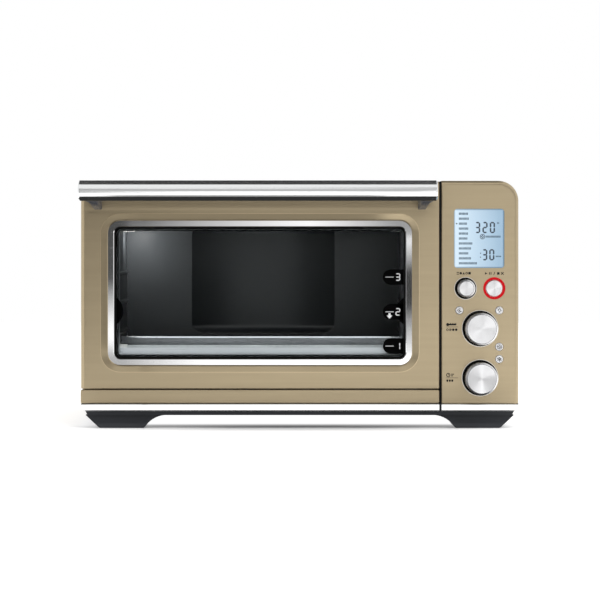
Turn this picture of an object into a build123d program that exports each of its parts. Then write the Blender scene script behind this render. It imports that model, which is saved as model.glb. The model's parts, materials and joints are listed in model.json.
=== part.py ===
from build123d import *
from math import sqrt
import os

# A countertop air fryer toaster oven, in millimetres.
# X runs to the right, Y to the rear and Z up. The origin is on the counter, under the middle
# of the whole object, and the control column stands at the right of the oven door.

# Overall size
body_width = 480.0
body_top = 271.6
shell_depth = 301.1
handle_reach = 47.4
rear_bulge_reach = 30.0
shell_corner = 22.0
sheet = 1.0

# Door and control column in front of the shell
door_depth = 24.0
door_gap = 1.5
door_lift = 1.0
door_top_step = 0.6
fascia_wall = 1.5
fascia_round = 5.0
fascia_edge = 1.0
tray_front_corner = 1.5
control_width = 84.6
strip_width = 2.2
strip_gap = 0.4
strip_inset = 1.8

# Base, feet and trims
pad_drop = 0.5
pad_thickness = 3.0
pad_size = 40.0
pad_corner = 6.0
foot_height = 14.7
foot_side = 20.0
foot_width = 50.0
foot_flare = 15.0
foot_sweep = 24.6
foot_depth = 50.0
foot_setback = 4.0
foot_corner = 4.0
foot_toe = 1.5
foot_toe_rise = 0.8
base_band = 4.4
trim_height = 8.1
trim_thickness = 2.0
trim_taper = 5.0
base_wall = 2.5
rail_width = 4.0
rail_inset = 2.0
rail_rear_gap = 20.0

# Crumb tray
tray_clear = 0.4
tray_front_height = 14.9
tray_front_lip = 9.0
tray_sheet = 0.8
tray_rim = 11.0
tray_side_clear = 8.0
tray_rear_gap = 25.1
tray_corner = 6.0

# Door window
window_side = 29.2
window_height = 159.4
window_radius = 14.5
window_z = 148.7
recess_slope = 6.8
recess_depth = 3.0
recess_step = 0.5
window_trim_width = 7.3
window_trim_height = 1.9
window_ledge = 4.0
ledge_thickness = 3.5
gasket_lip = 2.4
gasket_thickness = 4.0
glass_thickness = 4.0
glass_overlap = 8.0
inner_view_step = 1.8
inner_panel_margin = 3.8

# Door handle
handle_diameter = 22.4
handle_wall = 1.5
handle_height = 259.5
handle_left_inset = 2.6
handle_right_inset = 5.4
handle_cap = 2.0
bracket_inset = 14.6
bracket_tube_width = 15.4
bracket_door_width = 8.8
bracket_door_low = 19.6
bracket_door_high = 1.0
bracket_corner = 1.0

# Door hinges
hinge_inset = 5.0
hinge_rise = 12.0
pin_radius = 1.5
pin_clear = 0.05
ear_radius = 3.0
ear_thickness = 2.5
ear_side = 7.0
ear_gap = 0.4
ear_plate = 2.0
ear_plate_side = 4.0
ear_plate_below = 8.0
ear_plate_above = 18.0
heel_relief = 6.0
heel_rise = 3.0
cheek_thickness = 4.0
clevis_back = 8.0
clevis_top = 12.0
clevis_bridge = 4.8
clevis_foot = 9.0
magnet_radius = 7.0
magnet_thickness = 3.0
magnet_height = 128.2

# Oven cavity
cavity_left_gap = 22.0
cavity_right_gap = 26.4
cavity_rear_gap = 13.9
cavity_top = 234.2
cavity_floor = 63.2
wall_foot = 44.2
frame_opening_step = 1.5
frame_opening_sill = 87.2
frame_opening_radius = 11.0
rack_levels = [98.2, 134.2, 170.2]
rib_radius = 3.0
rib_end = 14.0
ridge_setback = 34.9
ridge_height = 91.2
ridge_top = 8.0
ridge_base = 44.0
ridge_round = 3.5
ridge_end = 4.0
floor_slots = 5
floor_slot_width = 8.0
floor_slot_pitch = 20.0
bulge_half = 91.0
bulge_depth = 28.0
bulge_low = 89.6
bulge_high = 227.2
bulge_round = 11.0
bulge_lip = 0.7
cover_bulge_margin = 14.0
cover_bulge_rise = 16.0
cover_bulge_round = 18.0
cover_thickness = 1.2

# Heating elements
tube_diameter = 10.0
bottom_tube_height = 84.2
rear_tube_drop = 4.0
bottom_front_gap = 18.9
bottom_rear_gap = 58.1
top_tube_drop = 8.0
top_front_gap = 27.9
top_rear_gap = 48.1
top_tube_count = 4
cap_size = 15.0
cap_length = 13.0
cap_boss = 12.0
cap_boss_length = 12.0

# Convection fan
fan_setback = 4.9
fan_z = 151.2
grille_slots = 20
grille_inner = 15.0
grille_outer = 46.0
grille_slot_width = 4.0
housing_radius = 60.0
housing_depth = 20.0
housing_flange = 6.0
wheel_radius = 50.0
wheel_depth = 12.0
wheel_clear = 3.0
blade_count = 14
blade_length = 16.0
blade_pitch = 35.0
blade_sheet = 1.0
fan_shaft_radius = 3.0
shaft_clear = 0.05
motor_radius = 27.0
motor_length = 26.0
motor_gap = 8.0

# Controls
panel_wall = 2.5
display_left = 13.6
display_right = 15.9
display_low = 175.9
display_high = 240.8
display_radius = 3.8
display_inset = 1.2
display_flange = 3.0
upper_row = 153.7
function_side = 58.5
start_side = 27.0
dial_side = 42.5
temperature_height = 109.7
time_height = 55.7
option_left_side = 65.2
option_right_side = 21.5
option_high = 129.5
option_middle = 89.6
option_low = 76.1
small_knob_radius = 9.7
small_knob_hole = 11.8
small_knob_height = 12.0
large_knob_radius = 17.5
large_knob_hole = 19.6
large_knob_height = 19.0
knob_bevel = 1.5
knob_wall = 2.0
knob_cap = 4.0
knob_sink = 4.0
cup_wall = 1.0
cup_floor = 5.0
cup_flange = 2.0
cup_sink = 0.3
knob_shaft_radius = 3.0
knob_boss_radius = 5.0
board_setback = 18.6
board_thickness = 1.6
board_margin = 6.0
encoder_size = 13.0
encoder_depth = 7.0
bush_radius = 4.5
bush_length = 4.5
switch_size = 6.0
switch_depth = 3.5
switch_plunger = 0.5
button_travel = 1.2
button_clear = 0.3
start_radius = 9.3
ring_radius = 12.1
ring_depth = 5.0
ring_flange = 14.0
option_radius = 4.3
option_proud = 1.0
stem_radius = 1.5
post_radius = 3.0
post_margin = 1.0

# Electronics in the control column
power_board_thickness = 1.6
power_board_standoff = 7.0
power_board_low = 61.2
power_board_high = 216.2
power_board_length = 70.0
power_board_rear_gap = 10.0
standoff_radius = 3.0
part_margin = 6.0
coil_reach = 28.0
coil_depth = 32.0
coil_height = 36.0
relay_count = 3
relay_reach = 16.0
relay_depth = 28.0
relay_height = 15.0
relay_pitch = 22.0
fin_count = 5
fin_pitch = 4.0
fin_thickness = 1.5
fin_reach = 26.0
sink_base = 3.0
sink_front = 46.0
probe_radius = 2.0
probe_length = 60.0

# Vents, screws and cord gland
vent_slot = 3.0
vent_length = 26.0
vent_pitch = 9.0
side_vent_count = 14
side_vent_rise = 30.0
side_vent_row_gap = 8.0
side_vent_rear = 30.0
rear_vent_count = 16
base_vent_count = 12
base_vent_front = 70.0
base_vent_rear = 10.0
screw_head = 3.6
screw_head_height = 1.8
screw_shank = 1.6
screw_length = 5.0
screw_edge = 14.0
gland_side = 40.0
gland_z = 51.2
gland_bore = 4.0
gland_body = 6.5
gland_flange = 9.0
gland_length = 15.0
gland_head = 2.5
seat_clear = 0.1

# Places worked out from the sizes above
half_width = body_width / 2
total_depth = handle_reach + door_depth + door_gap + shell_depth + rear_bulge_reach
handle_front = -total_depth / 2
face_y = handle_front + handle_reach
door_back = face_y + door_depth
shell_front = door_back + door_gap
shell_back = shell_front + shell_depth
base_low = foot_height
trim_low = base_low + base_band
trim_high = trim_low + trim_height
panel_left = half_width - control_width
strip_left = panel_left - strip_width
door_left = -half_width
door_right = strip_left - strip_gap
tray_low = trim_high + tray_clear
tray_front_high = tray_low + tray_front_height
door_low = tray_front_high + door_lift
door_high = body_top - door_top_step
door_middle = (door_left + door_right) / 2
frame_back = shell_front + cover_thickness
cavity_left = door_left + cavity_left_gap
cavity_right = panel_left - cavity_right_gap
cavity_rear = shell_back - cavity_rear_gap
cavity_x = (cavity_left + cavity_right) / 2
cavity_middle = (frame_back + cavity_rear) / 2
ridge_y = cavity_middle + ridge_setback
fan_y = cavity_middle + fan_setback
foot_outer = half_width - foot_side
foot_inner = foot_outer - foot_width
gland_x = half_width - gland_side
wall_x = panel_left - 2 * sheet
hinge_y = face_y + hinge_inset
hinge_z = door_low + hinge_rise
handle_y = handle_front + handle_diameter / 2
panel_back = face_y + panel_wall
board_front = face_y + board_setback
board_back = board_front + board_thickness
glass_front = face_y + recess_depth + gasket_thickness
glass_back = glass_front + glass_thickness

small_knob = (half_width - function_side, upper_row)
start_place = (half_width - start_side, upper_row)
temperature_place = (half_width - dial_side, temperature_height)
time_place = (half_width - dial_side, time_height)
option_right = half_width - option_right_side
option_places = [
    (half_width - option_left_side, option_high),
    (option_right, option_high),
    (option_right, option_middle),
    (option_right, option_low),
]

window = (
    door_left + window_side,
    door_right - window_side,
    window_z - window_height / 2,
    window_z + window_height / 2,
    window_radius,
)


def box_at(x0, x1, y0, y1, z0, z1):
    """A box between two corners."""
    middle = Pos((x0 + x1) / 2, (y0 + y1) / 2, (z0 + z1) / 2)
    return middle * Box(x1 - x0, y1 - y0, z1 - z0)


def grown(outline, by):
    """A front outline (x0, x1, z0, z1, radius) moved outwards all round."""
    x0, x1, z0, z1, radius = outline
    return (x0 - by, x1 + by, z0 - by, z1 + by, radius + by)


def front_face(outline, y):
    """A rounded rectangle that looks towards the front, at depth y."""
    x0, x1, z0, z1, radius = outline
    plane = Plane(origin=((x0 + x1) / 2, y, (z0 + z1) / 2), x_dir=(1, 0, 0), z_dir=(0, -1, 0))
    return plane * RectangleRounded(x1 - x0, z1 - z0, radius)


def slab(outline, y0, y1):
    """A rounded plate between two depths."""
    return extrude(front_face(outline, y1), amount=y1 - y0, dir=(0, -1, 0))


def bar_x(y, z, radius, x0, x1):
    """A round bar along X."""
    return Pos((x0 + x1) / 2, y, z) * Rot(0, 90, 0) * Cylinder(radius, x1 - x0)


def bar_y(x, z, radius, y0, y1):
    """A round bar along Y."""
    return Pos(x, (y0 + y1) / 2, z) * Rot(90, 0, 0) * Cylinder(radius, y1 - y0)


def turned(x, z, profile):
    """A turned piece about a line along Y; the profile lists (radius, y)."""
    face = make_face(Polyline(*profile, close=True))
    return Pos(x, 0, z) * revolve(face, axis=Axis.Y)


def turned_x(y, z, profile):
    """A turned piece about a line along X; the profile lists (x, radius)."""
    face = make_face(Polyline(*profile, close=True))
    return Pos(0, y, z) * revolve(face, axis=Axis.X)


def edge_near(solid, x, y, z):
    """The edge whose middle lies nearest to a place."""
    return solid.edges().sort_by_distance((x, y, z))[0]


def write(name, piece):
    """Save one sub-part, as one solid or as a group of solids."""
    solids = piece.solids()
    shape = solids[0] if len(solids) == 1 else Compound(children=list(solids))
    export_step(shape, f"parts/{name}.step")


# Shared blocks of the front


def fascia_block(inner_x, outer_x, z0, z1, y0, y1):
    """A front block whose outer top corner follows the shell, with round edges at the front."""
    low_x, high_x = sorted((inner_x, outer_x))
    middle_x = (inner_x + outer_x) / 2
    middle_y = (y0 + y1) / 2
    block = box_at(low_x, high_x, y0, y1, z0, z1)
    block = fillet(edge_near(block, outer_x, middle_y, z1), shell_corner)
    away = shell_corner * (1 - sqrt(0.5))
    turn_x = outer_x + (away if inner_x > outer_x else -away)
    middle_z = (z0 + z1) / 2
    outer = [
        edge_near(block, outer_x, y0, middle_z),
        edge_near(block, turn_x, y0, z1 - away),
        edge_near(block, middle_x, y0, z1),
    ]
    block = fillet(outer, fascia_round)
    inner = [
        edge_near(block, inner_x, y0, middle_z),
        edge_near(block, middle_x, y0, z0),
        edge_near(block, inner_x, middle_y, z0),
    ]
    return fillet(inner, fascia_edge)


def fascia_pocket(inner_x, outer_x, z0, z1, y0, y1, wall):
    """The hollow of a fascia, open at the rear."""
    side = wall if inner_x > outer_x else -wall
    low_x, high_x = sorted((inner_x - side, outer_x + side))
    pocket = box_at(low_x, high_x, y0, y1, z0 + wall, z1 - wall)
    corner = edge_near(pocket, outer_x + side, (y0 + y1) / 2, z1 - wall)
    return fillet(corner, shell_corner - wall)


# Door


def hinge_slots():
    """The slots of the door in which the two fixed hinge ears stand."""
    slots = []
    for low_x in ear_places():
        slots.append(
            box_at(
                low_x - ear_gap,
                low_x + ear_thickness + ear_gap,
                hinge_y - hinge_inset + fascia_wall,
                door_back + 1,
                door_low - 1,
                hinge_z + ear_radius + ear_side / 2,
            )
        )
    return slots


def ear_places():
    """The left face of each hinge ear."""
    left = door_left + ear_side
    return [left, 2 * door_middle - left - ear_thickness]


def door_frame():
    """The painted door front: a pan with skirts, a stepped window recess and an opening."""
    block = fascia_block(door_right, door_left, door_low, door_high, face_y, door_back)
    pocket = fascia_pocket(
        door_right, door_left, door_low, door_high, face_y + fascia_wall, door_back + 1, fascia_wall
    )
    ledge_back = face_y + recess_depth + ledge_thickness
    pocket -= slab(grown(window, recess_slope + fascia_wall), face_y, ledge_back)
    block -= pocket
    recess = grown(window, recess_slope)
    block -= slab(recess, face_y - 1, face_y + recess_step)
    slope = [front_face(recess, face_y + recess_step), front_face(window, face_y + recess_depth)]
    block -= loft(slope, ruled=True)
    block -= slab(grown(window, -window_ledge), face_y, door_back)
    for slot in hinge_slots():
        block -= slot
    with_heel = [(door_back + 1, door_low - 1), (door_back - heel_relief, door_low - 1)]
    with_heel += [(door_back + 1, door_low + heel_relief + heel_rise)]
    relief = Pos(door_left - 1, 0, 0) * make_face(Plane.YZ * Polyline(*with_heel, close=True))
    return block - extrude(relief, amount=door_right - door_left + 2, dir=(1, 0, 0))


def window_trim():
    """The polished ring around the window."""
    seat = face_y + recess_depth
    front = seat - window_trim_height
    ring = slab(grown(window, -seat_clear), front, seat)
    ring -= slab(grown(window, -window_trim_width), front - 1, seat + 1)
    edges = ring.edges().group_by(Axis.Y)[0]
    return chamfer(edges, window_trim_height / 3)


def window_gasket():
    """The dark seal between the trim and the glass."""
    seat = face_y + recess_depth
    ring = slab(grown(window, -window_ledge - seat_clear), seat, glass_front)
    return ring - slab(grown(window, -window_trim_width - gasket_lip), seat - 1, glass_front + 1)


def door_glass():
    """The flat pane behind the seal."""
    return slab(grown(window, glass_overlap - window_ledge), glass_front, glass_back)


def door_inner_panel():
    """The steel back of the door, with a collar that holds the glass."""
    back = door_back
    front = back - cover_thickness
    x0 = door_left + inner_panel_margin
    x1 = door_right - inner_panel_margin
    corner = shell_corner - inner_panel_margin
    panel = slab((x0, x1, hinge_z, door_high - inner_panel_margin, corner), front, back)
    view = grown(window, -window_trim_width - gasket_lip - inner_view_step)
    panel += slab(grown(view, cover_thickness), glass_back, back)
    panel -= slab(view, glass_back - 1, back + 1)
    for slot in hinge_slots():
        panel -= slot
    return panel


def door_handle():
    """The tube across the top of the door."""
    x0 = door_left + handle_left_inset + handle_cap
    x1 = door_right - handle_right_inset - handle_cap
    radius = handle_diameter / 2
    tube = bar_x(handle_y, handle_height, radius, x0, x1)
    return tube - bar_x(handle_y, handle_height, radius - handle_wall, x0 - 1, x1 + 1)


def handle_end_caps():
    """A domed plug in each end of the handle tube."""
    radius = handle_diameter / 2
    plug = radius - handle_wall - seat_clear
    crown = handle_cap * 0.6
    left = door_left + handle_left_inset
    profile = [(left, 0), (left, radius - crown), (left + crown, radius), (left + handle_cap, radius)]
    profile += [(left + handle_cap, plug), (left + 4 * handle_cap, plug), (left + 4 * handle_cap, 0)]
    cap = turned_x(handle_y, handle_height, profile)
    tube_middle = (left + door_right - handle_right_inset) / 2
    return cap + mirror(cap, Plane.YZ.offset(tube_middle))


def handle_brackets():
    """The two tapered arms that carry the handle."""
    high = handle_height - bracket_door_high
    low = handle_height - bracket_door_low
    reach = handle_y + handle_diameter / 4
    inner = door_left + bracket_inset + bracket_door_width
    at_door = (inner - bracket_door_width, inner, low, high, bracket_corner)
    lean = (high - low) * 0.45
    tube_low = low + lean
    tube_high = high + lean * 0.55
    at_tube = (inner - bracket_tube_width, inner, tube_low, tube_high, bracket_corner)
    arm = loft([front_face(at_door, face_y), front_face(at_tube, reach)], ruled=True)
    arm -= bar_x(handle_y, handle_height, handle_diameter / 2, door_left, door_right)
    arm = arm.solids().sort_by(SortBy.VOLUME)[-1]
    return Part() + arm + mirror(arm, Plane.YZ.offset(door_middle))


def hinge_arms():
    """The clevis at each lower corner of the door, with the hole for its pin."""
    front = face_y + fascia_wall
    pieces = Part()
    for low_x in ear_places():
        x0 = low_x - ear_gap - cheek_thickness
        x1 = low_x + ear_thickness + ear_gap + cheek_thickness
        block = box_at(
            x0, x1, front, hinge_y + clevis_back, hinge_z - clevis_foot, hinge_z + clevis_top
        )
        block -= box_at(
            low_x - ear_gap,
            low_x + ear_thickness + ear_gap,
            front - 1,
            hinge_y + clevis_back + 1,
            hinge_z - clevis_foot - 1,
            hinge_z + clevis_bridge,
        )
        pieces += block - bar_x(hinge_y, hinge_z, pin_radius, x0 - 1, x1 + 1)
    return pieces


def hinge_pins():
    """The pin of each hinge, held in the clevis and running in the ear."""
    pieces = Part()
    for low_x in ear_places():
        x0 = low_x - ear_gap - cheek_thickness
        x1 = low_x + ear_thickness + ear_gap + cheek_thickness
        pieces += bar_x(hinge_y, hinge_z, pin_radius, x0, x1)
    return pieces


def hinge_brackets():
    """The ear of each hinge, fixed behind the front frame."""
    pieces = Part()
    for low_x in ear_places():
        high_x = low_x + ear_thickness
        ear = bar_x(hinge_y, hinge_z, ear_radius, low_x, high_x)
        plate_back = frame_back + ear_plate
        ear += box_at(
            low_x, high_x, hinge_y, plate_back, hinge_z - ear_radius, hinge_z + ear_radius
        )
        ear += box_at(
            low_x - ear_plate_side,
            high_x + ear_plate_side,
            frame_back,
            plate_back,
            hinge_z - ear_plate_below,
            hinge_z + ear_plate_above,
        )
        pieces += ear - bar_x(hinge_y, hinge_z, pin_radius + pin_clear, low_x - 1, high_x + 1)
    return pieces


def rack_magnets():
    """The magnet at each side of the window that draws the rack out."""
    view = grown(window, -window_trim_width - gasket_lip - inner_view_step + cover_thickness)
    front = door_back - cover_thickness - magnet_thickness
    left = view[0] - magnet_radius - seat_clear
    right = view[1] + magnet_radius + seat_clear
    pieces = Part()
    for x in (left, right):
        pieces += bar_y(x, magnet_height, magnet_radius, front, door_back - cover_thickness)
    return pieces


# Outer casing


def casing_block(y0, y1, z0, step):
    """A block in the casing's outline, moved inwards by a step."""
    side = half_width - step
    top = body_top - step
    block = box_at(-side, side, y0, y1, z0, top)
    edges = [edge_near(block, x, (y0 + y1) / 2, top) for x in (-side, side)]
    return fillet(edges, shell_corner - step)


def outer_shell():
    """The painted wrap over the top and both sides, with vents low on each side."""
    shell = casing_block(shell_front, shell_back, trim_high, 0)
    shell -= casing_block(shell_front - 1, shell_back + 1, trim_high - 1, sheet)
    low = trim_high + side_vent_rise
    rows = [low, low + vent_length + side_vent_row_gap]
    first = shell_back - side_vent_rear - (side_vent_count - 1) * vent_pitch
    for index in range(side_vent_count):
        y = first + index * vent_pitch
        for z in rows:
            slot = (y, y + vent_slot, z, z + vent_length)
            shell -= box_at(-half_width - 1, half_width + 1, *slot)
    return shell


def bulge(half, depth, z0, z1, rim, y, step):
    """A solid bulge behind a plate: part of a drum with round rims, moved inwards by a step."""
    radius = (half * half + depth * depth) / (2 * depth)
    drum = Cylinder(radius - step, z1 - z0 - 2 * step)
    drum = fillet(drum.edges().filter_by(GeomType.CIRCLE), rim - step)
    drum = Pos(cavity_x, y + depth - radius, (z0 + z1) / 2) * drum
    return drum & box_at(cavity_x - half, cavity_x + half, y - 1, y + depth, z0, z1)


def rear_cover():
    """The rear plate with the bulge that clears the round pan, its vents and its holes."""
    y1 = shell_back + cover_thickness
    cover = casing_block(shell_back, y1, trim_high, 0)
    half = bulge_half + cover_bulge_margin
    low = bulge_low - cover_bulge_rise
    high = bulge_high + cover_bulge_rise
    depth = rear_bulge_reach - cover_thickness
    dome = bulge(half, depth, low, high, cover_bulge_round, y1, 0)
    hollow = bulge(half, depth, low, high, cover_bulge_round, y1, cover_thickness)
    cover += dome
    cover -= hollow
    mouth = hollow.faces().sort_by(Axis.Y)[0]
    cover -= extrude(mouth, amount=cover_thickness + 1, dir=(0, -1, 0))
    first = cavity_right + vent_pitch
    for index in range(rear_vent_count):
        z = power_board_low + index * vent_pitch
        cover -= box_at(first, first + vent_length, shell_back - 1, y1 + 1, z, z + vent_slot)
    for x, z in cover_screw_places():
        cover -= bar_y(x, z, screw_shank + seat_clear, shell_back - 1, y1 + 1)
    return cover - bar_y(gland_x, gland_z, gland_body + seat_clear, shell_back - 1, y1 + 1)


def cover_screw_places():
    """Where the rear cover is screwed on."""
    outer = half_width - screw_edge
    low = trim_high + screw_edge
    high = body_top - screw_edge - shell_corner / 3
    middle = (low + high) / 2
    places = [(side * outer, z) for side in (-1, 1) for z in (low, middle, high)]
    return places + [(cavity_x - bulge_half / 2, low), (cavity_x + bulge_half / 2, low)]


def cover_screws():
    """The screws of the rear cover, each with a domed head and a cross recess."""
    seat = shell_back + cover_thickness
    pieces = Part()
    for x, z in cover_screw_places():
        profile = [(0, seat - screw_length), (screw_shank, seat - screw_length), (screw_shank, seat)]
        profile += [(screw_head, seat), (screw_head * 0.7, seat + screw_head_height)]
        profile += [(0, seat + screw_head_height)]
        screw = turned(x, z, profile)
        for long, wide in ((screw_head, 0.9), (0.9, screw_head)):
            screw -= box_at(
                x - long / 2, x + long / 2, seat + 0.8, seat + 3, z - wide / 2, z + wide / 2
            )
        pieces += screw
    return pieces


def cord_gland():
    """The bush in the rear cover through which a cord would pass."""
    y1 = shell_back + cover_thickness
    bush = bar_y(gland_x, gland_z, gland_body, y1 + gland_head - gland_length, y1)
    bush += bar_y(gland_x, gland_z, gland_flange, y1, y1 + gland_head)
    bush = chamfer(bush.edges().group_by(Axis.Y)[-1], 0.8)
    return bush - bar_y(gland_x, gland_z, gland_bore, y1 - gland_length, y1 + gland_head + 1)


# Base


def base_side(z):
    """How far the tapered base reaches to the side at a height."""
    return half_width - (trim_high - z) * trim_taper / trim_height


def base_profile(step, z0, z1):
    """The tapered base seen from the front, moved inwards by a step."""
    points = [(-base_side(z0) + step, z0), (base_side(z0) - step, z0)]
    points += [(base_side(z1) - step, z1), (-base_side(z1) + step, z1)]
    return points


def prism_y(points, y0, y1):
    """An upright outline in X and Z, drawn out along Y."""
    plane = Plane(origin=(0, y1, 0), x_dir=(1, 0, 0), z_dir=(0, -1, 0))
    return extrude(plane * make_face(Polyline(*points, close=True)), amount=y1 - y0, dir=(0, -1, 0))


def base_pan():
    """The dark base tray with vents in its floor and two rails under the crumb tray."""
    front = face_y + trim_thickness
    back = shell_back + cover_thickness
    pan = prism_y(base_profile(0, base_low, trim_high), front, back)
    inner = base_profile(base_wall, base_low + base_wall, trim_high + 1)
    pan -= prism_y(inner, front + base_wall, back - base_wall)
    rail_low = base_low + base_wall
    rail_back = cavity_rear - rail_rear_gap
    for x in (tray_left() + rail_inset, tray_right() - rail_inset - rail_width):
        pan += box_at(x, x + rail_width, front + base_wall, rail_back, rail_low, trim_high)
    for index in range(base_vent_count):
        x = cavity_x - (base_vent_count - 1) * vent_pitch + 2 * index * vent_pitch
        for y in (ridge_y - base_vent_front, ridge_y + base_vent_rear):
            pan -= box_at(x, x + vent_slot, y, y + 2 * vent_length, base_low - 1, rail_low + 1)
    return pan


def base_trim(inner_x, side):
    """A polished strip along the base, tapered at its outer end."""
    low = base_side(trim_low)
    points = [(inner_x, trim_low), (side * low, trim_low)]
    points += [(side * half_width, trim_high), (inner_x, trim_high)]
    strip = prism_y(points, face_y, face_y + trim_thickness)
    edges = strip.edges().group_by(Axis.Y)[0].filter_by(Axis.X)
    return fillet(edges, trim_thickness * 0.6)


def base_trims():
    """The strip under the door and the strip under the control column."""
    return base_trim(door_right, -1) + base_trim(panel_left, 1)


def foot(side, y0):
    """A moulded foot: slanted outside, swept inside, with a pocket for its pad."""
    top = base_low
    low = pad_drop
    sweep_x = foot_inner - foot_sweep
    outer_side = Line((foot_outer, low), (foot_outer + foot_flare, top))
    over = Line((foot_outer + foot_flare, top), (sweep_x, top))
    toe = (foot_inner, low + foot_toe_rise)
    sweep = TangentArc((sweep_x, top), toe, tangent=(1, 0))
    under = Polyline(toe, (foot_inner + foot_toe, low), (foot_outer, low))
    face = make_face([outer_side, over, sweep, under])
    corner = face.vertices().sort_by_distance((foot_outer, low, 0))[0]
    face = fillet(corner, foot_corner)
    plane = Plane(origin=(0, y0 + foot_depth, 0), x_dir=(1, 0, 0), z_dir=(0, -1, 0))
    block = extrude(plane * face, amount=foot_depth, dir=(0, -1, 0))
    middle = (foot_inner + foot_outer) / 2
    block -= pad_block(middle, y0 + foot_depth / 2, seat_clear)
    return block if side > 0 else mirror(block, Plane.YZ)


def pad_block(x, y, step):
    """A foot pad, or with a step the pocket that it sits in."""
    half = pad_size / 2 + step
    pad = box_at(x - half, x + half, y - half, y + half, 0, pad_thickness)
    return fillet(pad.edges().filter_by(Axis.Z), pad_corner + step)


def foot_rows():
    """The front of the front feet and of the rear feet."""
    return face_y + foot_setback, shell_back - foot_setback - foot_depth


def front_feet():
    """The two feet under the front."""
    y0 = foot_rows()[0]
    return foot(1, y0) + foot(-1, y0)


def rear_feet():
    """The two feet under the rear."""
    y0 = foot_rows()[1]
    return foot(1, y0) + foot(-1, y0)


def foot_pads():
    """The four rubber pads."""
    middle = (foot_inner + foot_outer) / 2
    pads = Part()
    for y0 in foot_rows():
        for side in (-1, 1):
            pads += pad_block(side * middle, y0 + foot_depth / 2, 0)
    return pads


# Crumb tray


def tray_left():
    """The left side of the crumb pan."""
    return door_left + tray_side_clear


def tray_right():
    """The right side of the crumb pan."""
    return door_right - tray_side_clear


def crumb_tray():
    """The shallow pan that catches crumbs."""
    front = face_y + fascia_wall
    back = shell_back - tray_rear_gap
    pan = box_at(tray_left(), tray_right(), front, back, tray_low, tray_low + tray_rim)
    pan = fillet(pan.edges().filter_by(Axis.Z).group_by(Axis.Y)[-1], tray_corner)
    inside = box_at(
        tray_left() + tray_sheet,
        tray_right() - tray_sheet,
        front + tray_sheet,
        back - tray_sheet,
        tray_low + tray_sheet,
        tray_low + tray_rim + 1,
    )
    return pan - inside


def crumb_tray_front():
    """The painted front of the crumb tray, folded back along its edges."""
    block = box_at(
        door_left, door_right, face_y, face_y + tray_front_lip, tray_low, tray_front_high
    )
    block = fillet(block.edges().filter_by(Axis.Y), tray_front_corner)
    block = fillet(edge_near(block, door_left, face_y, (tray_low + tray_front_high) / 2), fascia_edge)
    block -= box_at(
        door_left + fascia_wall,
        door_right - fascia_wall,
        face_y + fascia_wall,
        face_y + tray_front_lip + 1,
        tray_low + fascia_wall,
        tray_front_high - fascia_wall,
    )
    return block - box_at(
        tray_left() - seat_clear,
        tray_right() + seat_clear,
        face_y + fascia_wall,
        face_y + tray_front_lip + 1,
        tray_low - 1,
        tray_low + tray_rim + seat_clear,
    )


# Oven cavity


def front_frame():
    """The steel bulkhead behind the door, with the oven's mouth in it."""
    x0 = -half_width + sheet + seat_clear
    x1 = panel_left + panel_wall
    plate = box_at(x0, x1, shell_front, frame_back, door_low, body_top - sheet - seat_clear)
    corner = edge_near(plate, x0, (shell_front + frame_back) / 2, body_top - sheet)
    plate = fillet(corner, shell_corner - sheet)
    plate -= slab(mouth_outline(), shell_front - 1, frame_back + 1)
    for low_x in ear_places():
        plate -= box_at(
            low_x - seat_clear,
            low_x + ear_thickness + seat_clear,
            shell_front - 1,
            frame_back + 1,
            hinge_z - ear_radius - seat_clear,
            hinge_z + ear_radius + seat_clear,
        )
    return plate


def mouth_outline():
    """The opening in the front frame."""
    return (
        cavity_left + frame_opening_step,
        cavity_right - frame_opening_step,
        frame_opening_sill,
        cavity_top - frame_opening_step,
        frame_opening_radius,
    )


def side_wall(x, side):
    """A cavity wall with three pressed rack ribs; side points into the cavity."""
    x0, x1 = sorted((x, x - side * sheet))
    wall = box_at(x0, x1, frame_back, cavity_rear, wall_foot, cavity_top + sheet)
    y0 = frame_back + rib_end
    y1 = cavity_rear - rib_end
    inward = sorted((x, x + side * rib_radius * 2))
    reach = box_at(inward[0], inward[1], y0, y1, cavity_floor, cavity_top)
    for z in rack_levels:
        wall += bar_y(x, z - rib_radius, rib_radius, y0, y1) & reach
    for z in rack_levels:
        wall -= bar_y(x, z - rib_radius, rib_radius - sheet, y0 + sheet, y1 - sheet)
    return wall


def cavity_left_wall():
    """The left wall of the cavity."""
    return side_wall(cavity_left, 1)


def cavity_right_wall():
    """The right wall of the cavity, with a round grille of radial slots over the fan."""
    wall = side_wall(cavity_right, -1)
    wall += bar_x(fan_y, fan_z, grille_outer + grille_slot_width, cavity_right, cavity_right + sheet)
    length = grille_outer - grille_inner
    middle = (grille_outer + grille_inner) / 2
    for index in range(grille_slots):
        turn = 360.0 * index / grille_slots
        slot = Pos(0, middle, 0) * Box(rib_radius * 4, length, grille_slot_width)
        wall -= Pos(cavity_right, fan_y, fan_z) * Rot(turn, 0, 0) * slot
    return wall


def cavity_ceiling():
    """The ceiling of the cavity."""
    return box_at(cavity_left, cavity_right, frame_back, cavity_rear, cavity_top, cavity_top + sheet)


def floor_sheet():
    """The floor's section, with the ridge that parts the front and rear heating elements."""
    low = cavity_floor
    points = [(frame_back, low), (ridge_y - ridge_base / 2, low)]
    points += [(ridge_y - ridge_top / 2, ridge_height), (ridge_y + ridge_top / 2, ridge_height)]
    points += [(ridge_y + ridge_base / 2, low), (cavity_rear, low)]
    line = FilletPolyline(*points, radius=ridge_round)
    return trace(line, line_width=sheet)


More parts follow.
